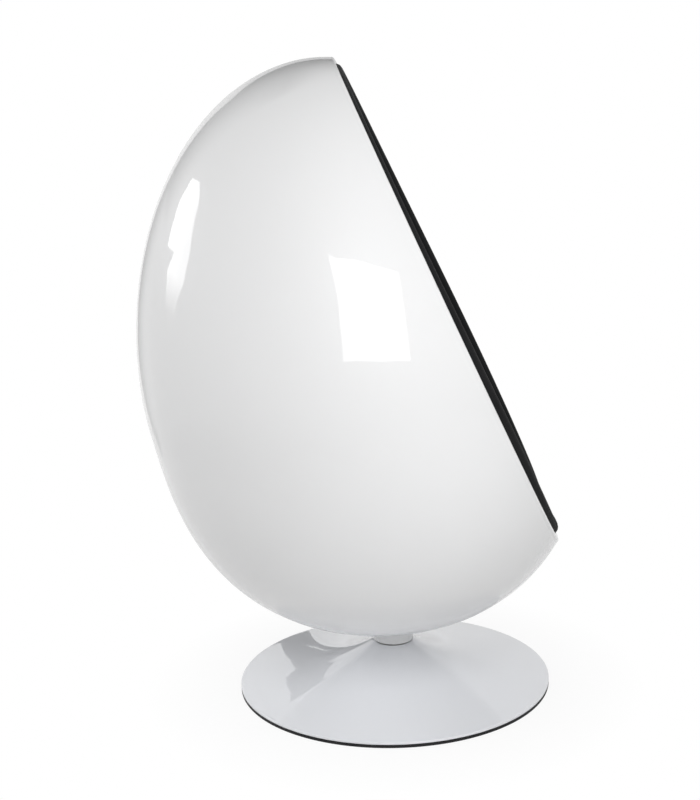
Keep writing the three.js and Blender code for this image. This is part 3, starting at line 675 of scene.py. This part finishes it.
def upright_round(radius, low, high, x=0.0, y=0.0):
    """A loose upright cylinder that cuts or joins another piece and is then removed."""
    mesh = bpy.data.meshes.new("tool")
    shape = bmesh.new()
    place = Matrix.Translation((x, y, (low + high) / 2))
    bmesh.ops.create_cone(shape, cap_ends=True, segments=TOOL_SIDES, radius1=radius, radius2=radius,
                          depth=high - low, matrix=place)
    shape.to_mesh(mesh)
    shape.free()
    return link("tool", mesh)


def combine(piece, tools, operation, crease):
    for tool in tools:
        modify(piece, "BOOLEAN", operation=operation, solver="MANIFOLD", object=tool)
    apply_modifiers(piece)
    for tool in tools:
        bpy.data.objects.remove(tool)
    shade(piece, crease)


# The egg

EGG_AXIS = np.array((0, sin(EGG_LEAN), cos(EGG_LEAN)))
EGG_AHEAD = np.array((0, -cos(EGG_LEAN), sin(EGG_LEAN)))
OPENING_NORMAL = np.array((0, -cos(OPENING_TILT), sin(OPENING_TILT)))
OPENING_UP = np.array((0, sin(OPENING_TILT), cos(OPENING_TILT)))
ACROSS = np.array((1.0, 0, 0))
DOWN = np.array((0, 0, -1.0))
OPENING_MIDDLE = EGG_MIDDLE + OPENING_NORMAL * OPENING_FORWARD
EGG_SPAN = EGG_UP + EGG_DOWN + EGG_BACK + EGG_FRONT
HALVINGS = 40
HALVES_EASE = 60 * MM
HALVES_ROUND = 25 * MM
LINER_INSET = SHELL_WALL + SOFT_GAP
CAVITY_INSET = LINER_INSET + LINER_THICKNESS
EASED_WALL = (RIM_WALL + SHELL_WALL) / 2


def eased_power(distance, half, power):
    """(distance / half) to a power, rounded off near 0 so that the skin bends evenly there."""
    start = HALVES_ROUND ** power
    return (((distance ** 2 + HALVES_ROUND ** 2) ** (power / 2) - start)
            / ((half ** 2 + HALVES_ROUND ** 2) ** (power / 2) - start))


def two_halves(distance, near_half, near_power, far_half, far_power):
    """The same with a half length and a power of its own for each side, eased into each other."""
    nearness = (1 + np.tanh(distance / HALVES_EASE)) / 2
    return (nearness * eased_power(distance, near_half, near_power)
            + (1 - nearness) * eased_power(distance, far_half, far_power))


def egg_value(points, inset):
    """Below 1 inside the egg's skin, drawn in by inset all round, and above 1 outside."""
    offset = points - EGG_MIDDLE
    return (two_halves(offset @ EGG_AXIS, EGG_UP - inset, UP_POWER, EGG_DOWN - inset, DOWN_POWER)
            + two_halves(offset @ EGG_AHEAD, EGG_FRONT - inset, FRONT_POWER, EGG_BACK - inset, BACK_POWER)
            + np.abs(offset[..., 0] / (EGG_SIDE - inset)) ** SIDE_POWER)


def last_true(test, shape, limit):
    """Where a test that holds at 0 stops holding on the way to a limit."""
    near = np.zeros(shape)
    far = np.full(shape, limit)
    for _ in range(HALVINGS):
        middle = (near + far) / 2
        holds = test(middle)
        near = np.where(holds, middle, near)
        far = np.where(holds, far, middle)
    return near


def egg_reach(start, direction, inset):
    """How far rays from inside run until they meet that skin."""
    def inside(reach):
        return egg_value(start + direction * reach[..., None], inset) < 1

    return last_true(inside, direction.shape[:-1], EGG_SPAN)


def turn_between(first, second):
    return (first - second + pi) % TURN - pi


def turned_from(start, turns):
    """Directions in the plane of +X and a start, by their turn from the start."""
    return np.outer(np.cos(turns), start) + np.outer(np.sin(turns), ACROSS)


def egg_loop(turns, depth, dip, inset):
    """Points of that skin: turns go round the opening from its top, and dip back from its plane."""
    start = OPENING_MIDDLE - OPENING_NORMAL * depth
    direction = turned_from(OPENING_UP, turns) * cos(dip) - OPENING_NORMAL * sin(dip)
    return start + direction * egg_reach(start, direction, inset)[:, None]


def bowl_loops(turns, depth, inset, rings, first_inset):
    """Loops of the egg's skin from a depth behind the opening back to the pole."""
    dips = [ring / rings * pi / 2 for ring in range(1, rings)]
    pole = egg_loop(turns[:1], depth, pi / 2, np.mean(inset))
    first = egg_loop(turns, depth, 0, first_inset)
    return [first, *[egg_loop(turns, depth, dip, inset) for dip in dips], pole]


def make_shell(paint):
    """The moulded shell, with a thicker rounded rim and a hole in its bottom for the hub."""
    turns = even_turns(SIDES)
    rim_round = RIM_WALL / 2
    outer = [egg_loop(turns, rim_round * share, 0, 0) for share in RIM_LOOPS]
    outer += bowl_loops(turns, ROLL_DEPTH, 0, SHELL_RINGS, 0)
    inner = [egg_loop(turns, rim_round, 0, RIM_WALL)]
    inner += bowl_loops(turns, ROLL_DEPTH, SHELL_WALL, SHELL_RINGS, EASED_WALL)
    middle = (outer[0] + inner[0]) / 2
    rim = []
    for step in range(1, RIM_STEPS):
        swing = step / RIM_STEPS * pi
        ahead = OPENING_NORMAL * rim_round * sin(swing)
        rim.append(middle + (outer[0] - middle) * cos(swing) + ahead)
    shell = add_skin("shell", [*outer[::-1], *rim, *inner], paint)
    hub_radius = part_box("upper_bush")[1].x + HUB_WALL + FIT_GAP
    combine(shell, [upright_round(hub_radius, COLLAR_BOTTOM, BLOCK_TOP)], "DIFFERENCE", CREASE)
    return shell


def make_lining(paint):
    """The padded lining: cloth over foam, sewn from gores whose seams run back from the rim."""
    seams = np.array([side * turn for turn in LINER_SEAM_TURNS for side in (1, -1)])

    def from_seam(turns):
        return np.abs(turn_between(turns[:, None], seams)).min(1) * EGG_SIDE

    fine = np.array(SEAM_LOOPS) * LINER_SEAM_WIDTH / EGG_SIDE
    seam_turns = (seams[:, None] + fine).ravel() % TURN
    even = even_turns(LINER_SIDES)
    turns = np.sort(np.concatenate((even[from_seam(even) > 2 * LINER_SEAM_WIDTH], seam_turns)))
    away = from_seam(turns)
    groove = LINER_SEAM_DEPTH * np.exp(-(away / (LINER_SEAM_WIDTH / 2)) ** 2)
    swell = LINER_SWELL * (1 - np.exp(-(away / LINER_SWELL_REACH) ** 2))
    inside = CAVITY_INSET - LINER_SWELL - groove + swell
    outer = bowl_loops(turns, ROLL_DEPTH, LINER_INSET, LINER_RINGS, EASED_WALL + SOFT_GAP)
    inner = bowl_loops(turns, ROLL_DEPTH, inside, LINER_RINGS, inside)
    lining = add_skin("lining", [*outer[::-1], *inner], paint, crease=SOFT_CREASE)
    hole = upright_round(LINER_HOLE, COLLAR_BOTTOM, SEAT_MIDDLE[2])
    combine(lining, [hole], "DIFFERENCE", LEDGE_CREASE)
    return lining


def roll_proud(turns):
    """How far the roll stands proud of the rim: most below the middle, little at its lowest point."""
    down = (1 - np.cos(turns)) / 2
    tuck = ROLL_TUCK * down ** ROLL_TUCK_POWER
    swell = down ** ROLL_SWELL_POWER * np.sqrt(1 + ROLL_SWELL_EASE - down)
    from_joint = turn_between(turns, ROLL_JOINT_TURN) / ROLL_JOINT_WIDTH
    joint = ROLL_JOINT_SWELL * np.exp(-from_joint ** ROLL_JOINT_POWER)
    return ROLL_PROUD + ROLL_SWELL * swell + joint - tuck


def make_roll(paint):
    """The padded roll inside the rim: cloth gathered over a foam core."""
    turns = even_turns(ROLL_STEPS)
    front = roll_proud(turns)
    back = SOFT_GAP - ROLL_DEPTH
    outward = turned_from(OPENING_UP, turns)
    random = np.random.default_rng(SEED)
    gathers = sum(np.sin(turns * waves + random.uniform(0, TURN)) for waves in ROLL_GATHER_WAVES)
    strips = []
    for side in range(ROLL_SIDES):
        angle = (side + 0.5) / ROLL_SIDES * TURN
        up_share = copysign(abs(sin(angle)) ** (2 / ROLL_POWER), sin(angle))
        out_share = copysign(abs(cos(angle)) ** (2 / ROLL_POWER), cos(angle))
        ahead = (front + back) / 2 + (front - back) / 2 * up_share
        inward = ROLL_WIDTH / 2 * (1 - out_share) + ROLL_GATHER * gathers * max(-out_share, 0)
        start = OPENING_MIDDLE - OPENING_NORMAL * np.maximum(-ahead, 0)[:, None]
        wall = start + outward * egg_reach(start, outward, RIM_WALL + SOFT_GAP)[:, None]
        strips.append(wall + OPENING_NORMAL * np.maximum(ahead, 0)[:, None] - outward * inward[:, None])
    return add_skin("roll", list(np.stack(strips, 1)), paint, wraps=True, crease=SOFT_CREASE)


# Base

TRUMPET_BOTTOM = PAD_RIM_HEIGHT + FIT_GAP
TRUMPET_EDGE_TOP = TRUMPET_BOTTOM + BASE_EDGE


def trumpet_top(radius):
    along = (BASE_RADIUS - radius) / (BASE_RADIUS - NECK_RADIUS)
    rise = (1 - FLARE_SHARE) * along + FLARE_SHARE * along ** FLARE_POWER
    return TRUMPET_EDGE_TOP + (NECK_TOP - TRUMPET_EDGE_TOP) * rise


def make_trumpet(paint):
    """The trumpet base, with a rounded edge, a sleeve in its neck and six bosses for its screws."""
    slope_start = BASE_RADIUS - BASE_EDGE_ROUND
    radii = slope_start - np.linspace(0, 1, TRUMPET_STEPS) ** NECK_CROWDING * (slope_start - NECK_RADIUS)
    slope = [(radius, trumpet_top(radius)) for radius in radii]
    edge_low = TRUMPET_EDGE_TOP - BASE_EDGE_ROUND / 2
    edge_rise = slope[0][1] - edge_low
    edge = [(slope_start + BASE_EDGE_ROUND * cos(swing), edge_low + edge_rise * sin(swing))
            for swing in np.linspace(0, pi / 2, RIM_STEPS)]
    sleeve = NECK_RADIUS - NECK_SLEEVE_WALL
    sleeve_low = NECK_TOP - NECK_SLEEVE_DEPTH
    bevel = NECK_BEVEL_SHARE * NECK_EDGE_ROUND
    neck = [(NECK_RADIUS, NECK_TOP - NECK_EDGE_ROUND), (NECK_RADIUS - bevel, NECK_TOP - bevel),
            (NECK_RADIUS - NECK_EDGE_ROUND, NECK_TOP), (sleeve, NECK_TOP), (sleeve, sleeve_low),
            (NECK_RADIUS, sleeve_low)]
    inner = [(radius, height - TRUMPET_WALL) for radius, height in slope[2:-4]]
    foot = [(BASE_RADIUS - PAD_RIM_WIDTH, TRUMPET_BOTTOM), (BASE_RADIUS, TRUMPET_BOTTOM)]
    trumpet = add_turned("trumpet", [*foot, *edge, *slope[1:-1], *neck, *inner[::-1]], paint)
    ballast_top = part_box("ballast_plate")[1].z
    middles = [sum(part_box(name), Vector()) / 2 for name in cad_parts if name.startswith("base_screw_")]
    top = trumpet_top(middles[0].xy.length + BOSS_RADIUS) - TRUMPET_WALL / 2
    bosses = [upright_round(BOSS_RADIUS, ballast_top + FIT_GAP, top, at.x, at.y) for at in middles]
    combine(trumpet, bosses, "UNION", CUT_CREASE)
    pilot_top = ballast_top + 2 * FIT_GAP + BOSS_GRIP
    pilots = [upright_round(SCREW_RADIUS + FIT_GAP, 0, pilot_top, at.x, at.y) for at in middles]
    combine(trumpet, pilots, "DIFFERENCE", CUT_CREASE)
    return trumpet


def make_floor_pad(paint):
    """The rubber pan, with grooves underneath that keep it from creeping."""
    inner = BASE_RADIUS - PAD_RIM_WIDTH
    under = [(0.0, 0.0)]
    for radius in PAD_GROOVE_RADII:
        half = PAD_GROOVE_WIDTH / 2
        under += [(radius - half, 0), (radius - half / 2, PAD_GROOVE_DEPTH),
                  (radius + half / 2, PAD_GROOVE_DEPTH), (radius + half, 0)]
    rim = [(BASE_RADIUS, 0), (BASE_RADIUS, PAD_RIM_HEIGHT), (inner, PAD_RIM_HEIGHT), (inner, PAD_FLOOR)]
    smooth = rounded([*under, *rim, (0.0, PAD_FLOOR)], PAD_EDGE_ROUND)
    keep = [point for point in smooth if point[0] > PAD_EDGE_ROUND]
    return add_turned("pad", [(0, 0), *keep, (0, PAD_FLOOR)], paint)


def under_egg(radius, inset):
    """A round loop about the swivel axis that lies on the egg's underside."""
    loop = round_loop(radius, EGG_MIDDLE[2])
    loop[:, 2] -= egg_reach(loop.copy(), np.tile(DOWN, (ROUND_SIDES, 1)), inset)
    return loop


def make_collar(paint):
    """The white tube between the neck and the egg, cut on top to the egg's underside."""
    inside = NECK_RADIUS - COLLAR_WALL
    edge = NECK_EDGE_ROUND
    bevel = NECK_BEVEL_SHARE * edge
    loops = [round_loop(NECK_RADIUS, COLLAR_BOTTOM + edge), under_egg(NECK_RADIUS, -FIT_GAP),
             under_egg(inside, -FIT_GAP), round_loop(inside, COLLAR_BOTTOM + edge),
             round_loop(inside + bevel, COLLAR_BOTTOM + bevel), round_loop(inside + edge, COLLAR_BOTTOM),
             round_loop(NECK_RADIUS - edge, COLLAR_BOTTOM),
             round_loop(NECK_RADIUS - bevel, COLLAR_BOTTOM + bevel)]
    return add_skin("collar_tube", loops, paint, wraps=True, crease=TURNED_CREASE)


# Seat

SEAT_UP = np.array((0, sin(SEAT_TILT), cos(SEAT_TILT)))
SEAT_REAR = np.array((0, cos(SEAT_TILT), -sin(SEAT_TILT)))


def seat_points(angles, out, height):
    """Points at an angle from the rear, so far out from the seat's middle and so far above the foam."""
    out, height = np.broadcast_arrays(out * np.ones(len(angles)), height)
    across = np.outer(out * np.sin(angles), ACROSS)
    rear = np.outer(out * np.cos(angles), SEAT_REAR)
    return SEAT_MIDDLE + across + rear + np.outer(height, SEAT_UP)


def seat_reach(angles, height):
    """How far the seat cushion reaches from its middle, without its corners sharp."""
    start = SEAT_MIDDLE + SEAT_UP * height
    direction = turned_from(SEAT_REAR, angles)
    to_wall = egg_reach(start, direction, CAVITY_INSET + SEAT_SIDE_GAP)
    ahead = direction @ OPENING_NORMAL
    to_front = -SEAT_FRONT_SETBACK - (start - OPENING_MIDDLE) @ OPENING_NORMAL
    front_term = np.maximum(ahead / to_front, 0) ** CORNER_POWER
    return (to_wall ** -CORNER_POWER + front_term) ** (-1 / CORNER_POWER)


def crown(share, height):
    return height * (1 - share ** CROWN_POWER) ** CROWN_EASE


def make_seat_base(paint):
    """The covered foam block under the cushion, hollow over the clamp that holds the shell."""
    angles = even_turns(ROUND_SIDES)
    start = SEAT_MIDDLE - SEAT_REAR * (SEAT_MIDDLE[1] / SEAT_REAR[1])
    level = turned_from(SEAT_REAR, angles)
    inset = CAVITY_INSET + SOFT_GAP
    plane_room = -(ROLL_DEPTH + SOFT_GAP) - (start - OPENING_MIDDLE) @ OPENING_NORMAL

    def outside(dip):
        direction = level * np.cos(dip)[:, None] - np.outer(np.sin(dip), SEAT_UP)
        reach = egg_reach(start, direction, inset)
        ahead = np.maximum(direction @ OPENING_NORMAL, 0)
        front_term = (ahead / plane_room) ** BLOCK_EDGE_POWER
        reach = (reach ** -BLOCK_EDGE_POWER + front_term) ** (-1 / BLOCK_EDGE_POWER)
        return start + direction * reach[:, None]

    def beyond(dip):
        return np.hypot(*outside(dip)[:, :2].T) > LINER_HOLE

    low = last_true(beyond, len(angles), pi / 2)
    sides = [outside(low * share) for share in np.linspace(BLOCK_FIRST_LOOP, 1, BLOCK_RINGS)]
    edge = outside(np.zeros(len(angles)))
    top = [start + (edge - start) * share for share in BLOCK_TOP_LOOPS]
    plate_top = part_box("plate_screw_1")[1].z + SOFT_GAP
    nut_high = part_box("hub_nut")[1]
    nut_top = nut_high.z + POCKET_GAP
    post_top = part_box("centre_post")[1].z + POCKET_GAP
    post_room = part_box("hub")[1].x + POCKET_GAP
    pocket = [round_loop(LINER_HOLE, plate_top), round_loop(nut_high.x + POCKET_GAP, plate_top),
              round_loop(nut_high.x + POCKET_GAP, nut_top), round_loop(post_room, nut_top),
              round_loop(post_room, post_top)]
    turn_round = [np.roll(loop[::-1], ROUND_SIDES // 4 + 1, 0) for loop in pocket]
    loops = [start[None], *top, *sides, *turn_round, np.array([[0, 0, post_top]])]
    return add_skin("seat_base", loops, paint, crease=LEDGE_CREASE)


def seat_seam(height, out=0.0):
    angles = even_turns(SEAM_STEPS)
    return seat_points(angles, seat_reach(angles, height) + out, height)


def seat_start(paint):
    """The seat cushion before it is filled: its seams in place and its panels slack."""
    angles = even_turns(ROUND_SIDES)
    low_reach = seat_reach(angles, SEAT_SEAM_LOW)
    high_reach = seat_reach(angles, SEAT_SEAM_HIGH)
    slack_crown = SEAT_CROWN - SWELL_ROOM
    loops = [seat_points(angles[:1], 0, SOFT_GAP)]
    loops += [seat_points(angles, low_reach * share, SOFT_GAP) for share in SEAT_UNDER_LOOPS]
    loops += [seat_points(angles, low_reach * SEAT_CORNER_LOOP, SOFT_GAP + SEAT_SEAM_LOW / 4)]
    for share in np.linspace(0, 1, SEAT_SIDE_LOOPS):
        height = SEAT_SEAM_LOW + (SEAT_SEAM_HIGH - SEAT_SEAM_LOW) * share
        reach = seat_reach(angles, height) * (1 - SIDE_DRAWN_IN * sin(pi * share))
        loops.append(seat_points(angles, reach, height))
    loops += [seat_points(angles, high_reach * share, SEAT_SEAM_HIGH + crown(share, slack_crown))
              for share in SEAT_TOP_LOOPS]
    loops.append(seat_points(angles[:1], 0, SEAT_SEAM_HIGH + slack_crown))
    return add_skin("seat_pad", loops, paint, crease=SOFT_CREASE)


def back_points(angles, out, inward):
    """Points of the back cushion: out is the share from its middle to its seam, inward the depth."""
    corner = sum(np.abs(part(angles)) ** BACK_CORNER_POWER for part in (np.cos, np.sin))
    corner = corner ** (-1 / BACK_CORNER_POWER)
    side = BACK_HALF_WIDTH * out * corner * np.sin(angles)
    rise = (BACK_LOW + BACK_HIGH) / 2 + (BACK_HIGH - BACK_LOW) / 2 * out * corner * np.cos(angles)
    direction = (np.outer(np.cos(rise) * np.cos(side), -OPENING_NORMAL)
                 + np.outer(np.cos(rise) * np.sin(side), ACROSS) + np.outer(np.sin(rise), OPENING_UP))
    reach = egg_reach(OPENING_MIDDLE, direction, CAVITY_INSET + BACK_SIDE_GAP) - inward
    return OPENING_MIDDLE + direction * reach[:, None]


def back_start(paint):
    """The back cushion before it is filled."""
    angles = even_turns(ROUND_SIDES)
    slack_crown = BACK_THICKNESS - BACK_SEAM - SWELL_ROOM
    loops = [back_points(angles[:1], 0, 0)]
    loops += [back_points(angles, share, BACK_SEAM * share ** BACK_REAR_POWER)
              for share in BACK_REAR_LOOPS]
    loops.append(back_points(angles, 1, BACK_SEAM))
    loops += [back_points(angles, share, BACK_SEAM + crown(share, slack_crown))
              for share in BACK_FRONT_LOOPS]
    loops.append(back_points(angles[:1], 0, BACK_SEAM + slack_crown))
    return add_skin("back_pad", loops, paint, crease=SOFT_CREASE)


def nearest_on(path, points):
    """For each point its distance to the nearest point of a path and that point's length along it."""
    steps = np.linalg.norm(np.diff(path, axis=0, append=path[:1]), axis=1)
    lengths = np.concatenate(([0], np.cumsum(steps)[:-1]))
    distance = np.empty(len(points))
    along = np.empty(len(points))
    for start in range(0, len(points), CHUNK):
        gaps = np.linalg.norm(points[start:start + CHUNK, None] - path, axis=2)
        nearest = gaps.argmin(1)
        distance[start:start + CHUNK] = gaps.min(1)
        along[start:start + CHUNK] = lengths[nearest]
    return distance, along, lengths[-1] + steps[-1]


def fill(piece, pinned):
    """Fills the cover by cloth simulation, with the pinned vertices held, and caps how far it swells."""
    start = coordinates(piece)
    group = piece.vertex_groups.new(name="pinned")
    group.add(np.flatnonzero(pinned).tolist(), 1.0, "REPLACE")
    cloth = piece.modifiers.new("cloth", "CLOTH")
    with_settings(cloth.settings, vertex_group_mass="pinned", use_pressure=True,
                  uniform_pressure_force=CLOTH_PRESSURE, shrink_min=-CLOTH_SPARE)
    cloth.settings.effector_weights.gravity = 0
    for number in range(1, CLOTH_FRAMES + 1):
        bpy.context.scene.frame_set(number)
    graph = bpy.context.evaluated_depsgraph_get()
    swell = coordinates(piece.evaluated_get(graph)) - start
    piece.modifiers.remove(cloth)
    piece.vertex_groups.clear()
    bpy.context.scene.frame_set(1)
    size = np.maximum(np.linalg.norm(swell, axis=1, keepdims=True), SMALL)
    set_coordinates(piece, start + swell * SWELL_CAP * np.tanh(size / SWELL_CAP) / size)


def sew(piece, seams):
    """Draws the cover in along its seams and puckers it beside them."""
    points = coordinates(piece)
    outward = vectors(piece.data.vertex_normals, "vector")
    random = np.random.default_rng(SEED)
    depth = np.zeros(len(points))
    for seam in seams:
        distance, along, length = nearest_on(seam, points)
        depth += PINCH_DEPTH * np.exp(-(distance / PINCH_REACH) ** 2)
        puckers = np.zeros(len(points))
        for wave in PUCKER_LENGTHS:
            turns = round(length / wave)
            slant = random.uniform(-1, 1) * distance / wave
            puckers += np.sin(TURN * (turns * along / length + random.uniform()) + slant)
        fading = np.exp(-distance / PUCKER_REACH) * np.minimum(distance / PINCH_REACH, 1)
        depth += PUCKER_DEPTH / 2 * puckers * fading
    set_coordinates(piece, points - outward * depth[:, None])


def kept_inside(points, inset):
    """The points moved in towards the egg's middle where they lie beyond its skin."""
    points = points.copy()
    out = np.flatnonzero(egg_value(points, inset) > 1)
    direction = unit(points[out] - EGG_MIDDLE)
    points[out] = EGG_MIDDLE + direction * egg_reach(EGG_MIDDLE, direction, inset)[:, None]
    return points


def lifted(points, lowest):
    """The points moved up along the seat where they lie lower than so far above the foam."""
    height = (points - SEAT_MIDDLE) @ SEAT_UP
    return points + np.outer(np.maximum(lowest - height, 0), SEAT_UP)


def resting_on(points, supports, gap):
    """The points moved up along the seat where they lie in or too near the pieces under them."""
    points = points.copy()
    ray = Vector(-SEAT_UP)
    for support in supports:
        tree = BVHTree.FromObject(support, bpy.context.evaluated_depsgraph_get())
        for i, point in enumerate(points):
            high = Vector(point + SEAT_UP * REST_SEARCH)
            hit = tree.ray_cast(high, ray, REST_SEARCH + gap)[0]
            if hit is not None:
                points[i] = np.array(hit) + SEAT_UP * gap
    return points


def settle(piece, seams, pinned_low):
    """From the slack cover to the finished cushion."""
    modify(piece, "REMESH", mode="VOXEL", voxel_size=VOXEL, use_smooth_shade=True)
    apply_modifiers(piece)
    points = coordinates(piece)
    pinned = pinned_low(points)
    for seam in seams:
        pinned |= nearest_on(seam, points)[0] < VOXEL
    fill(piece, pinned)
    modify(piece, "SMOOTH", factor=0.5, iterations=SOFTENINGS)
    modify(piece, "SUBSURF", levels=1, render_levels=1)
    apply_modifiers(piece)
    sew(piece, seams)


def make_seat(paint):
    seams = [seat_seam(SEAT_SEAM_LOW), seat_seam(SEAT_SEAM_HIGH)]
    cushion = seat_start(paint)
    settle(cushion, seams, lambda points: (points - SEAT_MIDDLE) @ SEAT_UP < PINNED_HEIGHT)
    places = kept_inside(coordinates(cushion), CAVITY_INSET + SOFT_GAP)
    set_coordinates(cushion, lifted(places, SOFT_GAP))
    shade(cushion, SOFT_CREASE)
    heights = {"seat_piping_low": SEAT_SEAM_LOW, "seat_piping_high": SEAT_SEAM_HIGH}
    pipings = [add_tube(name, seat_seam(height, PIPING_OUT), PIPING_RADIUS, paint)
               for name, height in heights.items()]
    return cushion, pipings


def make_back(paint, under):
    seam = back_points(even_turns(SEAM_STEPS), 1, BACK_SEAM)
    cushion = back_start(paint)

    def on_lining(points):
        return egg_value(points, CAVITY_INSET + BACK_SIDE_GAP + VOXEL) > 1

    settle(cushion, [seam], on_lining)
    places = resting_on(coordinates(cushion), under, SOFT_GAP)
    set_coordinates(cushion, kept_inside(places, CAVITY_INSET + SOFT_GAP))
    shade(cushion, SOFT_CREASE)
    path = back_points(even_turns(SEAM_STEPS), 1 + PIPING_OUT / BACK_THICKNESS, BACK_SEAM)
    path = resting_on(path, under, PIPING_RADIUS + SOFT_GAP)
    path = kept_inside(path, CAVITY_INSET + PIPING_RADIUS + SOFT_GAP)
    return cushion, add_tube("back_piping", path, PIPING_RADIUS, paint)


# The chair

def dress():
    """Makes the pieces, hangs each on the body that it rides on and hides the CAD parts that it stands in
    for, and paints the hardware that stays.
    """
    white = gloss_paint("gloss_white", (0.86, 0.862, 0.865), 0.7 * MM)
    base_white = gloss_paint("base_white", (0.825, 0.838, 0.868), 0.2 * MM)
    # One black fabric in two copies painted to different tones: this copy, for the lining, cushions and
    # pipings, is painted lighter so their shapes read, and the roll's copy below is painted darker
    black_cloth_painted_lighter = cloth_paint("black_cloth_painted_lighter", (0.021, 0.021, 0.022), 0.4)
    roll_cloth_painted_darker = cloth_paint("roll_cloth_painted_darker", (0.008, 0.008, 0.0085), 0.05)
    rubber = uneven_paint("rubber", ((0.008, 0.008, 0.009), (0.02, 0.02, 0.021)), (0.35, 0.75),
                          (0.5, 0.72), (22, 5, 1), (420, 3, 1), 0.12 * MM, worn=True,
                          Specular_IOR_Level=0.25)
    powder = uneven_paint("powder_black", ((0.036, 0.036, 0.038), (0.055, 0.055, 0.058)), (0.3, 0.7),
                          (0.38, 0.55), (12, 3, 1), (900, 2, 1), 0.08 * MM)
    nylon = uneven_paint("nylon", ((0.72, 0.7, 0.63), (0.8, 0.78, 0.72)), (0.3, 0.7), (0.36, 0.5),
                         (35, 3, 1), (35, 3, 1), 0.1 * MM, Subsurface_Weight=0.1)
    steel = metal_paint("steel", (0.62, 0.63, 0.64), 0.3, 12)
    dark_steel = metal_paint("dark_steel", (0.09, 0.09, 0.095), 0.42, 6)
    plywood = plywood_paint()

    seat, pipings = make_seat(black_cloth_painted_lighter)
    back, back_piping = make_back(black_cloth_painted_lighter, [seat, *pipings])
    made = [
        (make_shell(white), "pod", "shell_white", ["pod_shell"], None),
        (make_collar(white), "pod", "shell_white", ["collar"], None),
        (make_lining(black_cloth_painted_lighter), "pod", "black_fabric", ["pod_liner"], 0.7),
        (make_roll(roll_cloth_painted_darker), "pod", "black_fabric", ["rim_roll"], 0.9),
        (make_seat_base(black_cloth_painted_lighter), "pod", "black_fabric", ["seat_base_pad"], 0.9),
        (seat, "pod", "black_fabric", ["seat_cushion"], 0.7),
        (back, "pod", "black_fabric", ["back_cushion"], 0.6),
        *[(piping, "pod", "black_fabric", [], None) for piping in (*pipings, back_piping)],
        (make_trumpet(base_white), "base", "base_white", ["base_trumpet"], None),
        (make_floor_pad(rubber), "base", "floor_rubber", ["floor_pad"], None),
    ]
    for piece, body, slot, nodes, fullness in made:
        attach(piece, body)
        if nodes:
            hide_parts(*nodes)

    carried = {
        steel: ("centre_post", "lower_race", "upper_race", "ball_cage", "hub", "mounting_plate",
                "clamp_washer", "base_screw_", "foot_bolt_", "foot_washer_", "plate_screw_"),
        dark_steel: ("retaining_clip",),
        powder: ("ballast_plate",),
        nylon: ("neck_ring", "lower_bush", "upper_bush", "retaining_washer"),
        plywood: ("bedding_block",),
    }
    for paint, starts in carried.items():
        for name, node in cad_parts.items():
            if name.startswith(starts):
                node.data.materials.clear()
                node.data.materials.append(paint)


make_camera()
make_lights()
make_world()
make_floor()
dress()

view = bpy.context.scene.view_settings
view.view_transform = "Standard"
